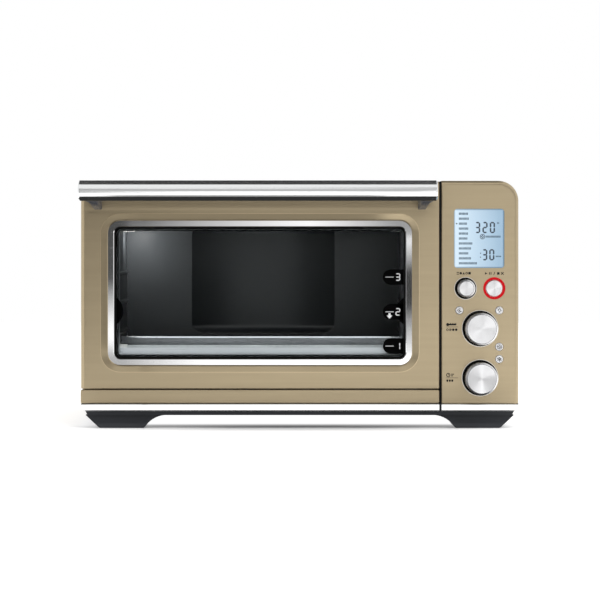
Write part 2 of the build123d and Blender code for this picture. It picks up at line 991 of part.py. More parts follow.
def cavity_floor_sheet():
    """The cavity floor with its ridge and the slots through which crumbs fall."""
    section = Plane.YZ * floor_sheet()
    width = cavity_right - cavity_left
    floor = Pos(cavity_left, 0, 0) * extrude(section, amount=width, dir=(1, 0, 0))
    for x in (cavity_left, cavity_right - ridge_end):
        low = cavity_floor + sheet
        floor -= box_at(x, x + ridge_end, frame_back, cavity_rear, low, ridge_height + 2)
    margin = cap_length + cap_boss_length
    for index in range(floor_slots):
        y = ridge_y - ridge_base / 2 - (index + 1) * floor_slot_pitch
        floor -= box_at(
            cavity_left + margin,
            cavity_right - margin,
            y,
            y + floor_slot_width,
            cavity_floor - 2,
            cavity_floor + 2,
        )
    for index in range(floor_slots - 2):
        y = ridge_y + ridge_base / 2 + (index + 0.5) * floor_slot_pitch
        floor -= box_at(
            cavity_left + margin,
            cavity_right - margin,
            y,
            y + floor_slot_width,
            cavity_floor - 2,
            cavity_floor + 2,
        )
    return floor


def cavity_back():
    """The rear wall of the cavity with the pressed bulge for a round pan."""
    y0 = cavity_rear
    y1 = y0 + sheet
    wall = box_at(
        cavity_left - sheet, cavity_right + sheet, y0, y1, wall_foot, cavity_top + sheet
    )
    low = bulge_low - sheet
    high = bulge_high + sheet
    outer = bulge(bulge_half + sheet, bulge_depth, low, high, bulge_round + sheet, y1, 0)
    inner = bulge(bulge_half, bulge_depth, bulge_low, bulge_high, bulge_round, y0, 0)
    wall = wall + outer - inner
    lip = [edge_near(wall, cavity_x, y0, z) for z in (bulge_low, bulge_high)]
    return fillet(lip, bulge_lip)


def compartment_wall():
    """The wall between the oven and the control column."""
    wall = box_at(wall_x, wall_x + sheet, frame_back, shell_back, trim_high, body_top - sheet)
    return wall - bar_x(fan_y, fan_z, motor_radius / 2, wall_x - 1, wall_x + 2 * sheet)


# Heating elements


def tube_places():
    """Each heating tube as (y, z), the top ones first."""
    top = cavity_top - top_tube_drop
    first = frame_back + top_front_gap
    pitch = (cavity_rear - top_rear_gap - first) / (top_tube_count - 1)
    top_places = [(first + index * pitch, top) for index in range(top_tube_count)]
    front_place = (frame_back + bottom_front_gap, bottom_tube_height)
    rear_place = (cavity_rear - bottom_rear_gap, bottom_tube_height - rear_tube_drop)
    return top_places, [front_place, rear_place]


def tubes(places):
    """A row of quartz tubes across the cavity."""
    x0 = cavity_left + cap_length + 1
    x1 = cavity_right - cap_length - 1
    row = Part()
    for y, z in places:
        row += bar_x(y, z, tube_diameter / 2, x0, x1)
    return row


def heater_end_caps():
    """The ceramic block at each end of each tube."""
    caps = Part()
    half = cap_size / 2
    for y, z in tube_places()[0] + tube_places()[1]:
        block = box_at(cavity_left, cavity_left + cap_length, y - half, y + half, z - half, z + half)
        reach = cavity_left + cap_length + cap_boss_length
        block += bar_x(y, z, cap_boss / 2, cavity_left, reach)
        hole = tube_diameter / 2 + seat_clear / 2
        block -= bar_x(y, z, hole, cavity_left + cap_length, reach + 1)
        caps += block + mirror(block, Plane.YZ.offset(cavity_x))
    return caps


def temperature_probe():
    """The probe that stands out of the right wall between the two rear tubes."""
    rear_tubes = tube_places()[0][-2:]
    y = (rear_tubes[0][0] + rear_tubes[1][0]) / 2
    z = rear_tubes[0][1]
    rod = bar_x(y, z, probe_radius, cavity_right - probe_length, cavity_right)
    return fillet(rod.edges().group_by(Axis.X)[0], probe_radius * 0.6)


# Convection fan


def fan_housing():
    """The cup behind the grille in which the fan wheel turns."""
    x0 = cavity_right + sheet
    x1 = x0 + housing_depth
    outer = housing_radius + sheet
    profile = [(x0, housing_radius), (x0, outer + housing_flange)]
    profile += [(x0 + sheet, outer + housing_flange), (x0 + sheet, outer), (x1, outer)]
    profile += [(x1, fan_shaft_radius * 2), (x1 - sheet, fan_shaft_radius * 2)]
    profile += [(x1 - sheet, housing_radius)]
    return turned_x(fan_y, fan_z, profile)


def fan_wheel():
    """The wheel: a back plate, a hub and curved rows of blades."""
    x1 = cavity_right + housing_depth - wheel_clear
    x0 = x1 - wheel_depth
    wheel = bar_x(fan_y, fan_z, wheel_radius, x1 - blade_sheet, x1)
    wheel += bar_x(fan_y, fan_z, fan_shaft_radius * 3, x0, x1)
    for index in range(blade_count):
        turn = 360.0 * index / blade_count
        reach = wheel_radius - blade_length / 2 - 1
        blade = Rot(blade_pitch, 0, 0) * Box(wheel_depth, blade_length, blade_sheet)
        place = Pos((x0 + x1) / 2, fan_y, fan_z) * Rot(turn, 0, 0) * Pos(0, reach, 0)
        wheel += place * blade
    return wheel - bar_x(fan_y, fan_z, fan_shaft_radius + seat_clear / 2, x0 - 1, x1 + 1)


def motor_front():
    """The face of the motor nearest the oven."""
    return wall_x + sheet + motor_gap


def fan_shaft():
    """The shaft from the motor to the wheel."""
    x0 = cavity_right + housing_depth - wheel_clear - wheel_depth
    return bar_x(fan_y, fan_z, fan_shaft_radius, x0, motor_front() + motor_length - 2)


def fan_motor():
    """The motor, standing off the compartment wall on two legs."""
    x0 = motor_front()
    x1 = x0 + motor_length
    motor = bar_x(fan_y, fan_z, motor_radius, x0 + 4, x1 - 4)
    motor += bar_x(fan_y, fan_z, motor_radius * 0.55, x0, x1)
    for side in (-1, 1):
        y = fan_y + side * (motor_radius - 5)
        motor += box_at(wall_x + sheet, x0 + 8, y - 4, y + 4, fan_z - 6, fan_z + 6)
    hole = fan_shaft_radius + shaft_clear
    return motor - bar_x(fan_y, fan_z, hole, x0 - 1, x1 + 1)


# Control column


def control_panel():
    """The painted front of the control column, hollow behind, with its openings and posts."""
    block = fascia_block(panel_left, half_width, trim_high, body_top, face_y, shell_front)
    block -= fascia_pocket(
        panel_left, half_width, trim_high, body_top, panel_back, shell_front + 1, fascia_wall
    )
    for x, z in post_places():
        block += bar_y(x, z, post_radius, panel_back, board_front)
    for place, hole in panel_holes():
        block -= bar_y(place[0], place[1], hole, face_y - 1, panel_back + 1)
    return block - slab(display_outline(), face_y - 1, panel_back + 1)


def post_places():
    """The posts that carry the control board."""
    margin = board_margin + post_radius + post_margin
    x0 = panel_left + margin
    x1 = half_width - margin
    z0 = trim_high + margin
    z1 = body_top - margin - board_margin - post_margin
    return [(x, z) for x in (x0, x1) for z in (z0, z1)]


def panel_holes():
    """Each round hole of the panel as (place, radius)."""
    holes = [(place, large_knob_hole) for place in (temperature_place, time_place)]
    holes += [(small_knob, small_knob_hole), (start_place, ring_radius + seat_clear)]
    return holes + [(place, option_radius + button_clear) for place in option_places]


def display_outline():
    """The opening for the display."""
    left = panel_left + display_left
    right = half_width - display_right
    return (left, right, display_low, display_high, display_radius)


def display_window():
    """The clear lens of the display, set back in its opening."""
    outline = display_outline()
    lens = slab(grown(outline, -seat_clear), face_y + display_inset, panel_back)
    return lens + slab(grown(outline, display_flange), panel_back, panel_back + fascia_wall)


def display_module():
    """The display behind the lens, reaching back to the board."""
    return slab(grown(display_outline(), 1.0), panel_back + fascia_wall, board_front)


def gap_strip():
    """The dark strip between the door and the control column."""
    front = face_y + strip_inset
    strip = box_at(strip_left, panel_left, front, shell_front, trim_high, door_high)
    return fillet(edge_near(strip, strip_left, (front + shell_front) / 2, door_high), strip_width / 2)


def knob_cup(place, hole):
    """The dark cup behind a knob, held by its flange behind the panel."""
    outer = hole - seat_clear
    inner = outer - cup_wall
    floor = face_y + cup_floor
    shaft_hole = bush_radius + seat_clear
    rim = face_y + cup_sink
    flange = outer + cup_flange
    profile = [(shaft_hole, floor), (inner, floor), (inner, rim), (outer, rim)]
    profile += [(outer, panel_back), (flange, panel_back), (flange, panel_back + cup_wall)]
    profile += [(outer, panel_back + cup_wall), (outer, floor + cup_wall)]
    profile += [(shaft_hole, floor + cup_wall)]
    return turned(place[0], place[1], profile)


def knob_cups():
    """The three cups."""
    cups = knob_cup(small_knob, small_knob_hole)
    cups += knob_cup(temperature_place, large_knob_hole)
    return cups + knob_cup(time_place, large_knob_hole)


def knob(place, radius, height):
    """A turned metal knob: bevelled rim, hollow back and a boss on its shaft."""
    back = face_y + knob_sink
    front = face_y - height
    under = front + knob_cap
    bore = knob_shaft_radius + seat_clear / 2
    profile = [(0, front), (radius - knob_bevel, front), (radius, front + knob_bevel)]
    profile += [(radius, back), (radius - knob_wall, back), (radius - knob_wall, under)]
    profile += [(knob_boss_radius, under), (knob_boss_radius, back), (bore, back)]
    profile += [(bore, front + knob_cap / 2), (0, front + knob_cap / 2)]
    return turned(place[0], place[1], profile)


def knob_shaft(place, height):
    """The shaft of a knob, running in the bush of its encoder."""
    front = face_y - height + knob_cap / 2
    return bar_y(place[0], place[1], knob_shaft_radius, front, board_front - encoder_depth / 2)


def rotary_encoders():
    """The three encoders on the board, each with a bush for its shaft."""
    pieces = Part()
    half = encoder_size / 2
    front = board_front - encoder_depth
    for x, z in (small_knob, temperature_place, time_place):
        body = box_at(x - half, x + half, front, board_front, z - half, z + half)
        body += bar_y(x, z, bush_radius, front - bush_length, front)
        hole = knob_shaft_radius + shaft_clear
        pieces += body - bar_y(x, z, hole, front - bush_length - 1, board_front - encoder_depth / 2 + 1)
    return pieces


def control_board():
    """The circuit board behind the panel."""
    return box_at(
        panel_left + board_margin,
        half_width - board_margin,
        board_front,
        board_back,
        trim_high + board_margin,
        body_top - 2 * board_margin,
    )


def push_switches():
    """The switch behind each push button."""
    pieces = Part()
    half = switch_size / 2
    front = board_front - switch_depth
    for x, z in [start_place] + option_places:
        body = box_at(x - half, x + half, front, board_front, z - half, z + half)
        pieces += body + bar_y(x, z, stem_radius, front - switch_plunger, front)
    return pieces


def stem_back():
    """Where a button's stem ends, a full press short of its switch."""
    return board_front - switch_depth - switch_plunger - button_travel - button_clear


def start_light_ring():
    """The clear red ring around the start button."""
    inner = start_radius + button_clear
    front = face_y - 0.2
    back = face_y + ring_depth
    profile = [(inner, front + 0.4), (inner + 0.4, front), (ring_radius - 0.4, front)]
    profile += [(ring_radius, front + 0.4), (ring_radius, panel_back), (ring_flange, panel_back)]
    profile += [(ring_flange, panel_back + 1), (ring_radius, panel_back + 1), (ring_radius, back)]
    profile += [(inner, back)]
    return turned(start_place[0], start_place[1], profile)


def start_button():
    """The large push button with its retaining flange and stem."""
    front = face_y - 0.8
    flange = face_y + ring_depth + button_clear
    profile = [(0, front), (start_radius - 0.8, front), (start_radius, front + 0.8)]
    profile += [(start_radius, flange), (start_radius + 1.4, flange)]
    profile += [(start_radius + 1.4, flange + 1), (stem_radius, flange + 1)]
    profile += [(stem_radius, stem_back()), (0, stem_back())]
    return turned(start_place[0], start_place[1], profile)


def option_button(place):
    """A small push button with its retaining flange and stem."""
    front = face_y - option_proud
    flange = panel_back + button_clear
    wide = option_radius + 1.3
    profile = [(0, front), (option_radius - 0.6, front), (option_radius, front + 0.6)]
    profile += [(option_radius, flange), (wide, flange), (wide, flange + 1)]
    profile += [(stem_radius, flange + 1), (stem_radius, stem_back()), (0, stem_back())]
    return turned(place[0], place[1], profile)


def power_board():
    """The power board on the compartment wall, with its standoffs and main components."""
    x0 = wall_x + sheet + power_board_standoff
    x1 = x0 + power_board_thickness
    low = power_board_low
    high = power_board_high
    back = shell_back - power_board_rear_gap
    front = back - power_board_length
    board = box_at(x0, x1, front, back, low, high)
    for y in (front + part_margin, back - part_margin):
        for z in (low + part_margin, high - part_margin):
            board += bar_x(y, z, standoff_radius, wall_x + sheet, x0)
    part_front = front + part_margin
    coil_low = low + 2 * part_margin
    coil_top = coil_low + coil_height
    board += box_at(x1, x1 + coil_reach, part_front, part_front + coil_depth, coil_low, coil_top)
    for index in range(relay_count):
        z = coil_top + 2 * part_margin + index * relay_pitch
        relay_back = part_front + relay_depth
        board += box_at(x1, x1 + relay_reach, part_front, relay_back, z, z + relay_height)
    fin_low = coil_top + part_margin
    fin_high = high - 3 * part_margin
    base = x1 + sink_base
    first = front + sink_front
    last = first + (fin_count - 1) * fin_pitch
    for index in range(fin_count):
        y = first + index * fin_pitch
        board += box_at(base, x1 + fin_reach, y, y + fin_thickness, fin_low, fin_high)
    return board + box_at(x1, base, first, last + fin_thickness, fin_low, fin_high)


def all_parts():
    """Every sub-part under its name."""
    top_places, bottom_places = tube_places()
    parts = {
        "outer_shell": outer_shell(),
        "rear_cover": rear_cover(),
        "cover_screws": cover_screws(),
        "cord_gland": cord_gland(),
        "base_pan": base_pan(),
        "base_trims": base_trims(),
        "front_feet": front_feet(),
        "rear_feet": rear_feet(),
        "foot_pads": foot_pads(),
        "front_frame": front_frame(),
        "cavity_left_wall": cavity_left_wall(),
        "cavity_right_wall": cavity_right_wall(),
        "cavity_ceiling": cavity_ceiling(),
        "cavity_floor": cavity_floor_sheet(),
        "cavity_back": cavity_back(),
        "compartment_wall": compartment_wall(),
        "top_heater_tubes": tubes(top_places),
        "bottom_heater_tubes": tubes(bottom_places),
        "heater_end_caps": heater_end_caps(),
        "temperature_probe": temperature_probe(),
        "fan_housing": fan_housing(),
        "fan_motor": fan_motor(),
        "fan_shaft": fan_shaft(),
        "fan_wheel": fan_wheel(),
        "hinge_brackets": hinge_brackets(),
        "door_frame": door_frame(),
        "window_trim": window_trim(),
        "window_gasket": window_gasket(),
        "door_glass": door_glass(),
        "door_inner_panel": door_inner_panel(),
        "door_handle": door_handle(),
        "handle_end_caps": handle_end_caps(),
        "handle_brackets": handle_brackets(),
        "hinge_arms": hinge_arms(),
        "hinge_pins": hinge_pins(),
        "rack_magnets": rack_magnets(),
        "crumb_tray": crumb_tray(),
        "crumb_tray_front": crumb_tray_front(),
        "control_panel": control_panel(),
        "gap_strip": gap_strip(),
        "display_window": display_window(),
        "display_module": display_module(),
        "control_board": control_board(),
        "rotary_encoders": rotary_encoders(),
        "push_switches": push_switches(),
        "power_board": power_board(),
        "knob_cups": knob_cups(),
        "start_light_ring": start_light_ring(),
        "start_button": start_button(),
        "function_knob": knob(small_knob, small_knob_radius, small_knob_height),
        "function_shaft": knob_shaft(small_knob, small_knob_height),
        "temperature_knob": knob(temperature_place, large_knob_radius, large_knob_height),
        "temperature_shaft": knob_shaft(temperature_place, large_knob_height),
        "time_knob": knob(time_place, large_knob_radius, large_knob_height),
        "time_shaft": knob_shaft(time_place, large_knob_height),
    }
    for index, place in enumerate(option_places):
        parts[f"option_button_{index + 1}"] = option_button(place)
    return parts


os.makedirs("parts", exist_ok=True)
for part_name, piece in all_parts().items():
    write(part_name, piece)
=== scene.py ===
import json
from math import atan2, cos, pi, radians, sin

import bmesh
import bpy
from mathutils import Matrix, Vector


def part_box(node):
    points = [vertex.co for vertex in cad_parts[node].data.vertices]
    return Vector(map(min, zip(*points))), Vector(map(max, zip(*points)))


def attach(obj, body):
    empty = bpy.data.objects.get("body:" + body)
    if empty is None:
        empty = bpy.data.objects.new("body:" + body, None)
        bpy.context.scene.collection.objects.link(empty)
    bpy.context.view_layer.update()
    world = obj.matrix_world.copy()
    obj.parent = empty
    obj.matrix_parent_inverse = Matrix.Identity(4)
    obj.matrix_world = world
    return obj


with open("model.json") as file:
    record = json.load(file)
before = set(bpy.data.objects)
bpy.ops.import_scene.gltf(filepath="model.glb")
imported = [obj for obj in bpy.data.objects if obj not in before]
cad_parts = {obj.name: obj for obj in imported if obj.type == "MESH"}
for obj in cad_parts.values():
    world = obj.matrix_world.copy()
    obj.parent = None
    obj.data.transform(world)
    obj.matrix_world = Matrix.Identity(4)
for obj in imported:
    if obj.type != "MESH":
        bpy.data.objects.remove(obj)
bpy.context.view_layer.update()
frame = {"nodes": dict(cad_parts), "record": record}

mm = 0.001

# The view of the photograph, in metres at the plane of the door's front
camera_distance = 1.9
camera_x = -0.012
camera_height = 0.1962
view_width = 0.6569
view_middle_x = 0.0003
view_middle_z = 0.1409
sensor_width = 36.0

# Light levels, where 1 is white
ambient_level = 0.62
white_level = 1.0
floor_glow = 0.5

# The floor: its reach and tone, the spans over which its painted bright part under the oven begins
# and ends, and the painted soft shadow along the front feet, in metres
floor_reach = 2.6
floor_tone = 0.86
bright_front = (-0.118, -0.095)
bright_rear = (0.12, 0.16)
bright_left = (-0.235, -0.215)
bright_right = (0.215, 0.235)
shadow_y = -0.147
shadow_reach = (0.30, 0.046)
shadow_fade = 0.75

# The front of the oven, and the plane of the cards that stand near it
face_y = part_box("control_panel")[0].y
near_y = face_y - 0.5

# Noise values lie mostly in this span
noise_span = (0.3, 0.7)

# Prints stand this far in front of what carries them
print_thickness = 0.04 * mm
print_lift = 0.005 * mm

# Points of a print that agree to this many decimals of a metre are one point
weld_decimals = 8


# Node helpers


def calculate(tree, operation, *values, clamp=False):
    """The result of a math node, whose values are sockets or plain numbers."""
    node = tree.nodes.new("ShaderNodeMath")
    node.operation = operation
    node.use_clamp = clamp
    for socket, value in zip(node.inputs, values):
        if isinstance(value, float):
            socket.default_value = value
        else:
            tree.links.new(value, socket)
    return node.outputs[0]


def map_range(tree, value, source, target):
    """A value carried from one span to another, and held at its ends."""
    node = tree.nodes.new("ShaderNodeMapRange")
    node.inputs["From Min"].default_value, node.inputs["From Max"].default_value = source
    node.inputs["To Min"].default_value, node.inputs["To Max"].default_value = target
    tree.links.new(value, node.inputs["Value"])
    return node.outputs["Result"]


def texture_place(tree, kind):
    """The place on a piece in texture coordinates of a kind."""
    return tree.nodes.new("ShaderNodeTexCoord").outputs[kind]


def split_axes(tree, place):
    """The X, Y and Z of a place."""
    node = tree.nodes.new("ShaderNodeSeparateXYZ")
    tree.links.new(place, node.inputs[0])
    return node.outputs


def backdrop_rays(tree):
    """One for rays that show the backdrop itself: camera, mirror and glass rays."""
    path = tree.nodes.new("ShaderNodeLightPath").outputs
    seen = calculate(tree, "MAXIMUM", path["Is Camera Ray"], path["Is Glossy Ray"])
    return calculate(tree, "MAXIMUM", seen, path["Is Transmission Ray"])


def empty_material(name):
    """A material without nodes but its output, as (material, tree, surface socket)."""
    material = bpy.data.materials.new(name)
    material.use_nodes = True
    tree = material.node_tree
    tree.nodes.clear()
    output = tree.nodes.new("ShaderNodeOutputMaterial")
    return material, tree, output.inputs["Surface"]


# Camera, light and floor


def link(obj):
    """Put an object into the scene."""
    bpy.context.scene.collection.objects.link(obj)
    return obj


def make_camera():
    """The level camera of the photograph, shifted to its framing."""
    data = bpy.data.cameras.new("camera")
    data.sensor_width = sensor_width
    data.lens = data.sensor_width * camera_distance / view_width
    data.shift_x = (view_middle_x - camera_x) / view_width
    data.shift_y = (view_middle_z - camera_height) / view_width
    camera = link(bpy.data.objects.new("camera", data))
    camera.location = (camera_x, face_y - camera_distance, camera_height)
    camera.rotation_euler = (pi / 2, 0, 0)
    bpy.context.scene.camera = camera


def make_world():
    """A white backdrop that lights the object at a plain level."""
    world = bpy.data.worlds.new("studio")
    bpy.context.scene.world = world
    world.use_nodes = True
    tree = world.node_tree
    tree.nodes.clear()
    output = tree.nodes.new("ShaderNodeOutputWorld")
    mix = tree.nodes.new("ShaderNodeMixShader")
    tree.links.new(backdrop_rays(tree), mix.inputs[0])
    for index, level in ((1, ambient_level), (2, white_level)):
        background = tree.nodes.new("ShaderNodeBackground")
        background.inputs["Color"].default_value = (1, 1, 1, 1)
        background.inputs["Strength"].default_value = level
        tree.links.new(background.outputs[0], mix.inputs[index])
    tree.links.new(mix.outputs[0], output.inputs["Surface"])


def quad(name, corners, material):
    """A flat stage piece through four corners, which no lamp samples are spent on."""
    mesh = bpy.data.meshes.new(name)
    mesh.from_pydata(corners, [], [(0, 1, 2, 3)])
    mesh.materials.append(material)
    material.cycles.emission_sampling = "NONE"
    obj = link(bpy.data.objects.new(name, mesh))
    return obj


def make_floor():
    """A pale floor: painted bright under the oven, where the oven's shade falls, with a painted soft shadow
    along its front feet.
    """
    material, tree, surface = empty_material("floor")
    diffuse = tree.nodes.new("ShaderNodeBsdfDiffuse")
    diffuse.inputs["Color"].default_value = (floor_tone, floor_tone, floor_tone, 1)
    place = texture_place(tree, "Object")
    axes = split_axes(tree, place)
    # Painted light: the glow rises to white under the oven, where the oven's own shade falls
    under = 1.0
    for axis, span, ends in (
        ("Y", bright_front, (0.0, 1.0)),
        ("Y", bright_rear, (1.0, 0.0)),
        ("X", bright_left, (0.0, 1.0)),
        ("X", bright_right, (1.0, 0.0)),
    ):
        under = calculate(tree, "MULTIPLY", under, map_range(tree, axes[axis], span, ends))
    level = map_range(tree, under, (0.0, 1.0), (floor_glow, 1.0))
    # Painted shadow: an oval dip in the glow along the front feet
    oval = tree.nodes.new("ShaderNodeMapping")
    long, deep = shadow_reach
    oval.inputs["Scale"].default_value = (1 / long, 1 / deep, 1)
    oval.inputs["Location"].default_value = (0, -shadow_y / deep, 0)
    tree.links.new(place, oval.inputs["Vector"])
    fall = tree.nodes.new("ShaderNodeTexGradient")
    fall.gradient_type = "SPHERICAL"
    tree.links.new(oval.outputs["Vector"], fall.inputs["Vector"])
    shadow = map_range(tree, fall.outputs["Fac"], (0.0, shadow_fade), (1.0, 0.0))
    shaded = calculate(tree, "MULTIPLY", level, shadow)
    glow = tree.nodes.new("ShaderNodeEmission")
    tree.links.new(calculate(tree, "MULTIPLY", shaded, backdrop_rays(tree)), glow.inputs["Strength"])
    both = tree.nodes.new("ShaderNodeAddShader")
    tree.links.new(diffuse.outputs[0], both.inputs[0])
    tree.links.new(glow.outputs[0], both.inputs[1])
    tree.links.new(both.outputs[0], surface)
    reach = (-floor_reach, floor_reach)
    quad("floor", [(x, y, 0) for x, y in rect(*reach, *reach)], material)


# Cards that only mirrors show. A fade is (axis, start, end, level at the end)


def card(name, corners, level, fade=None):
    """A studio card, even or fading along an axis between two places."""
    material, tree, surface = empty_material(name)
    glow = tree.nodes.new("ShaderNodeEmission")
    glow.inputs["Color"].default_value = (1, 1, 1, 1)
    glow.inputs["Strength"].default_value = level
    if fade:
        axis, start, end, end_level = fade
        axes = split_axes(tree, texture_place(tree, "Object"))
        strength = map_range(tree, axes[axis], (start, end), (level, end_level))
        tree.links.new(strength, glow.inputs["Strength"])
    tree.links.new(glow.outputs[0], surface)
    obj = quad(name, corners, material)
    obj.visible_camera = False
    obj.visible_diffuse = False
    obj.visible_transmission = False
    obj.visible_shadow = False


def flat_card(name, span_x, span_y, z, level):
    """A card that lies level."""
    (x0, x1), (y0, y1) = span_x, span_y
    card(name, [(x0, y0, z), (x1, y0, z), (x1, y1, z), (x0, y1, z)], level)


def upright_card(name, span_x, span_z, y, level, fade=None):
    """A card that stands across the view."""
    (x0, x1), (z0, z1) = span_x, span_z
    card(name, [(x0, y, z0), (x1, y, z0), (x1, y, z1), (x0, y, z1)], level, fade)


def make_room_cards():
    """The large grey cards of the studio: overhead, behind the camera, at the left and on the floor."""
    behind = face_y - camera_distance - 0.1
    overhead = 1.3
    overhead_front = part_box("door_handle")[0].y - 0.39
    floor_front = face_y - 0.14
    floor_card_z = 4 * mm
    flat_card("card_above", (-0.75, 0.55), (overhead_front, 1.6), overhead, 0.055)
    upright_card("card_far_left", (-1.4, 0.0), (0.0, 0.8), behind, 0.05, ("X", -0.58, 0.0, 0.97))
    upright_card("card_far_right", (0.85, 3.0), (0.0, 2.0), behind + 0.3, 0.45)
    upright_card("card_panel_top", (0.30, 0.85), (0.50, 1.6), behind, 0.22)
    upright_card("card_left", (-0.50, -0.292), (0.0, 0.42), near_y, 0.10)
    flat_card("card_floor", (-0.24, 0.24), (floor_front, face_y), floor_card_z, 0.04)


def make_handle_cards():
    """A dark card under the handle tube, and a grey one that draws its middle line."""
    low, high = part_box("door_handle")
    under_x = (low.x - 0.02, high.x + 6 * mm)
    under_y = (low.y - 1.5 * mm, face_y - 10 * mm)
    flat_card("card_under_handle", under_x, under_y, low.z - 8 * mm, 0.035)
    middle_z = (low.z + high.z) / 2
    half = 18 * mm
    line_z = (middle_z - half, middle_z + half)
    upright_card("card_handle_line", (low.x - 0.03, high.x), line_z, low.y - 88 * mm, 0.58)


def make_trim_cards():
    """The grey cards that shade the polished window trim, with their spans in metres."""
    for name, span_x, span_z, level, fade in (
        ("left", (-0.290, -0.235), (0.154, 0.260), 0.075, None),
        ("left_fade", (-0.290, -0.235), (0.072, 0.154), 1.20, ("Z", 0.088, 0.154, 0.08)),
        ("left_foot", (-0.290, -0.235), (0.050, 0.072), 0.50, ("Z", 0.050, 0.070, 1.20)),
        ("low", (-0.290, 0.000), (0.020, 0.050), 0.45, ("X", -0.240, -0.125, 1.25)),
        ("top", (-0.235, 0.015), (0.225, 0.260), 0.17, ("X", -0.210, 0.015, 1.12)),
        ("corner", (0.015, 0.180), (0.215, 0.260), 1.12, ("X", 0.015, 0.135, 0.34)),
        ("right", (0.130, 0.180), (0.142, 0.204), 0.03, ("Z", 0.166, 0.204, 0.85)),
        ("right_fade", (0.130, 0.180), (0.050, 0.142), 1.00, ("Z", 0.050, 0.119, 0.03)),
    ):
        upright_card("card_trim_" + name, span_x, span_z, near_y, level, fade)


def make_recess_cards():
    """Two cards close in front of the window, for the shaded slopes of its recess."""
    low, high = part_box("window_trim")
    front, back = face_y - 85 * mm, face_y - 14 * mm
    inset = 30 * mm
    flat_card("card_recess_top", (low.x, high.x - inset), (front, back), high.z - inset, 0.42)
    x = low.x + 32 * mm
    z0, z1 = low.z + 10 * mm, high.z - 10 * mm
    card("card_recess_left", [(x, front, z0), (x, back, z0), (x, back, z1), (x, front, z1)], 0.22)


def make_cavity_card():
    """A bright card under the cavity's ceiling, for the edge of the floor's ridge."""
    low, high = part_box("cavity_ceiling")
    span_x = (low.x + 10 * mm, high.x - 10 * mm)
    span_y = (high.y - 167 * mm, high.y - 100 * mm)
    flat_card("card_cavity", span_x, span_y, low.z - 15 * mm, 2.4)


# Lamps


def area_light(name, place, target, size, power, colour=(1, 1, 1)):
    """A soft lamp that looks at a point and that no mirror shows."""
    data = bpy.data.lights.new(name, "AREA")
    data.shape = "RECTANGLE"
    data.size, data.size_y = size
    data.energy = power
    data.color = colour
    lamp = link(bpy.data.objects.new(name, data))
    lamp.location = place
    lamp.rotation_euler = (Vector(target) - Vector(place)).to_track_quat("-Z", "Y").to_euler()
    lamp.visible_camera = False
    lamp.visible_glossy = False


def make_lights():
    """A key lamp at the right, a fill at the left, one behind and two small ones in the cavity."""
    area_light("key", (0.9, -1.2, 1.8), (0, 0, 0.12), (1.4, 1.4), 24)
    area_light("fill", (-1.0, -1.5, 1.3), (0, 0, 0.12), (1.2, 1.2), 4)
    area_light("rear", (0.1, 1.7, 1.6), (0, 0, 0.1), (1.4, 1.4), 14)
    low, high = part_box("cavity_back")
    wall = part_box("cavity_left_wall")[1].x
    warm = (1.0, 0.93, 0.88)
    corner = (wall + 13 * mm, low.y - 52 * mm, high.z - 22 * mm)
    corner_target = (corner[0], low.y, corner[2] - 10 * mm)
    area_light("inside_corner", corner, corner_target, (0.02, 0.02), 0.42, warm)
    over = ((low.x + high.x) / 2, low.y - 50 * mm, high.z - 11 * mm)
    over_target = (over[0], over[1] - 30 * mm, 0.08)
    area_light("inside_strip", over, over_target, (0.28, 0.012), 0.02)


# Materials


def new_material(name, colour, roughness, metallic=0.0, **inputs):
    """A Principled material with its plain values set on the shader."""
    material = bpy.data.materials.new(name)
    material.use_nodes = True
    tree = material.node_tree
    shader = tree.nodes["Principled BSDF"]
    shader.inputs["Base Color"].default_value = (*colour, 1)
    shader.inputs["Roughness"].default_value = roughness
    shader.inputs["Metallic"].default_value = metallic
    for key, value in inputs.items():
        shader.inputs[key.replace("_", " ")].default_value = value
    return material, tree, shader


def noise(tree, scale, detail):
    """Noise stretched by a scale for each axis, in waves per metre."""
    mapping = tree.nodes.new("ShaderNodeMapping")
    mapping.inputs["Scale"].default_value = scale
    texture = tree.nodes.new("ShaderNodeTexNoise")
    texture.inputs["Scale"].default_value = 1.0
    texture.inputs["Detail"].default_value = detail
    tree.links.new(texture_place(tree, "Object"), mapping.inputs["Vector"])
    tree.links.new(mapping.outputs["Vector"], texture.inputs["Vector"])
    return texture.outputs["Fac"]


def stretched(waves, along, long_waves):
    """A noise scale with long waves along one axis."""
    scale = [waves] * 3
    scale["XYZ".index(along)] = long_waves
    return scale


def colour_mix(tree, factor, first, second):
    """A mix of two colours by a factor; the second is a colour or a socket."""
    mix = tree.nodes.new("ShaderNodeMix")
    mix.data_type = "RGBA"
    mix.inputs[6].default_value = (*first, 1)
    if isinstance(second, tuple):
        mix.inputs[7].default_value = (*second, 1)
    else:
        tree.links.new(second, mix.inputs[7])
    tree.links.new(factor, mix.inputs["Factor"])
    return mix.outputs[2]


def tone(colour, by):
    """A colour made lighter or darker."""
    return tuple(min(1.0, part * by) for part in colour)


def shade(tree, shader, value, colour, dark, light):
    """Vary a colour between two tones of it with a noise value."""
    factor = map_range(tree, value, noise_span, (0.0, 1.0))
    mixed = colour_mix(tree, factor, tone(colour, dark), tone(colour, light))
    tree.links.new(mixed, shader.inputs["Base Color"])


def vary_roughness(tree, shader, value, low, high):
    """Vary the roughness between two values with a noise value."""
    tree.links.new(map_range(tree, value, noise_span, (low, high)), shader.inputs["Roughness"])


def bump(tree, shader, value, strength, distance):
    """Raise the surface by a noise value."""
    node = tree.nodes.new("ShaderNodeBump")
    node.inputs["Strength"].default_value = strength
    node.inputs["Distance"].default_value = distance
    tree.links.new(value, node.inputs["Height"])
    tree.links.new(node.outputs["Normal"], shader.inputs["Normal"])


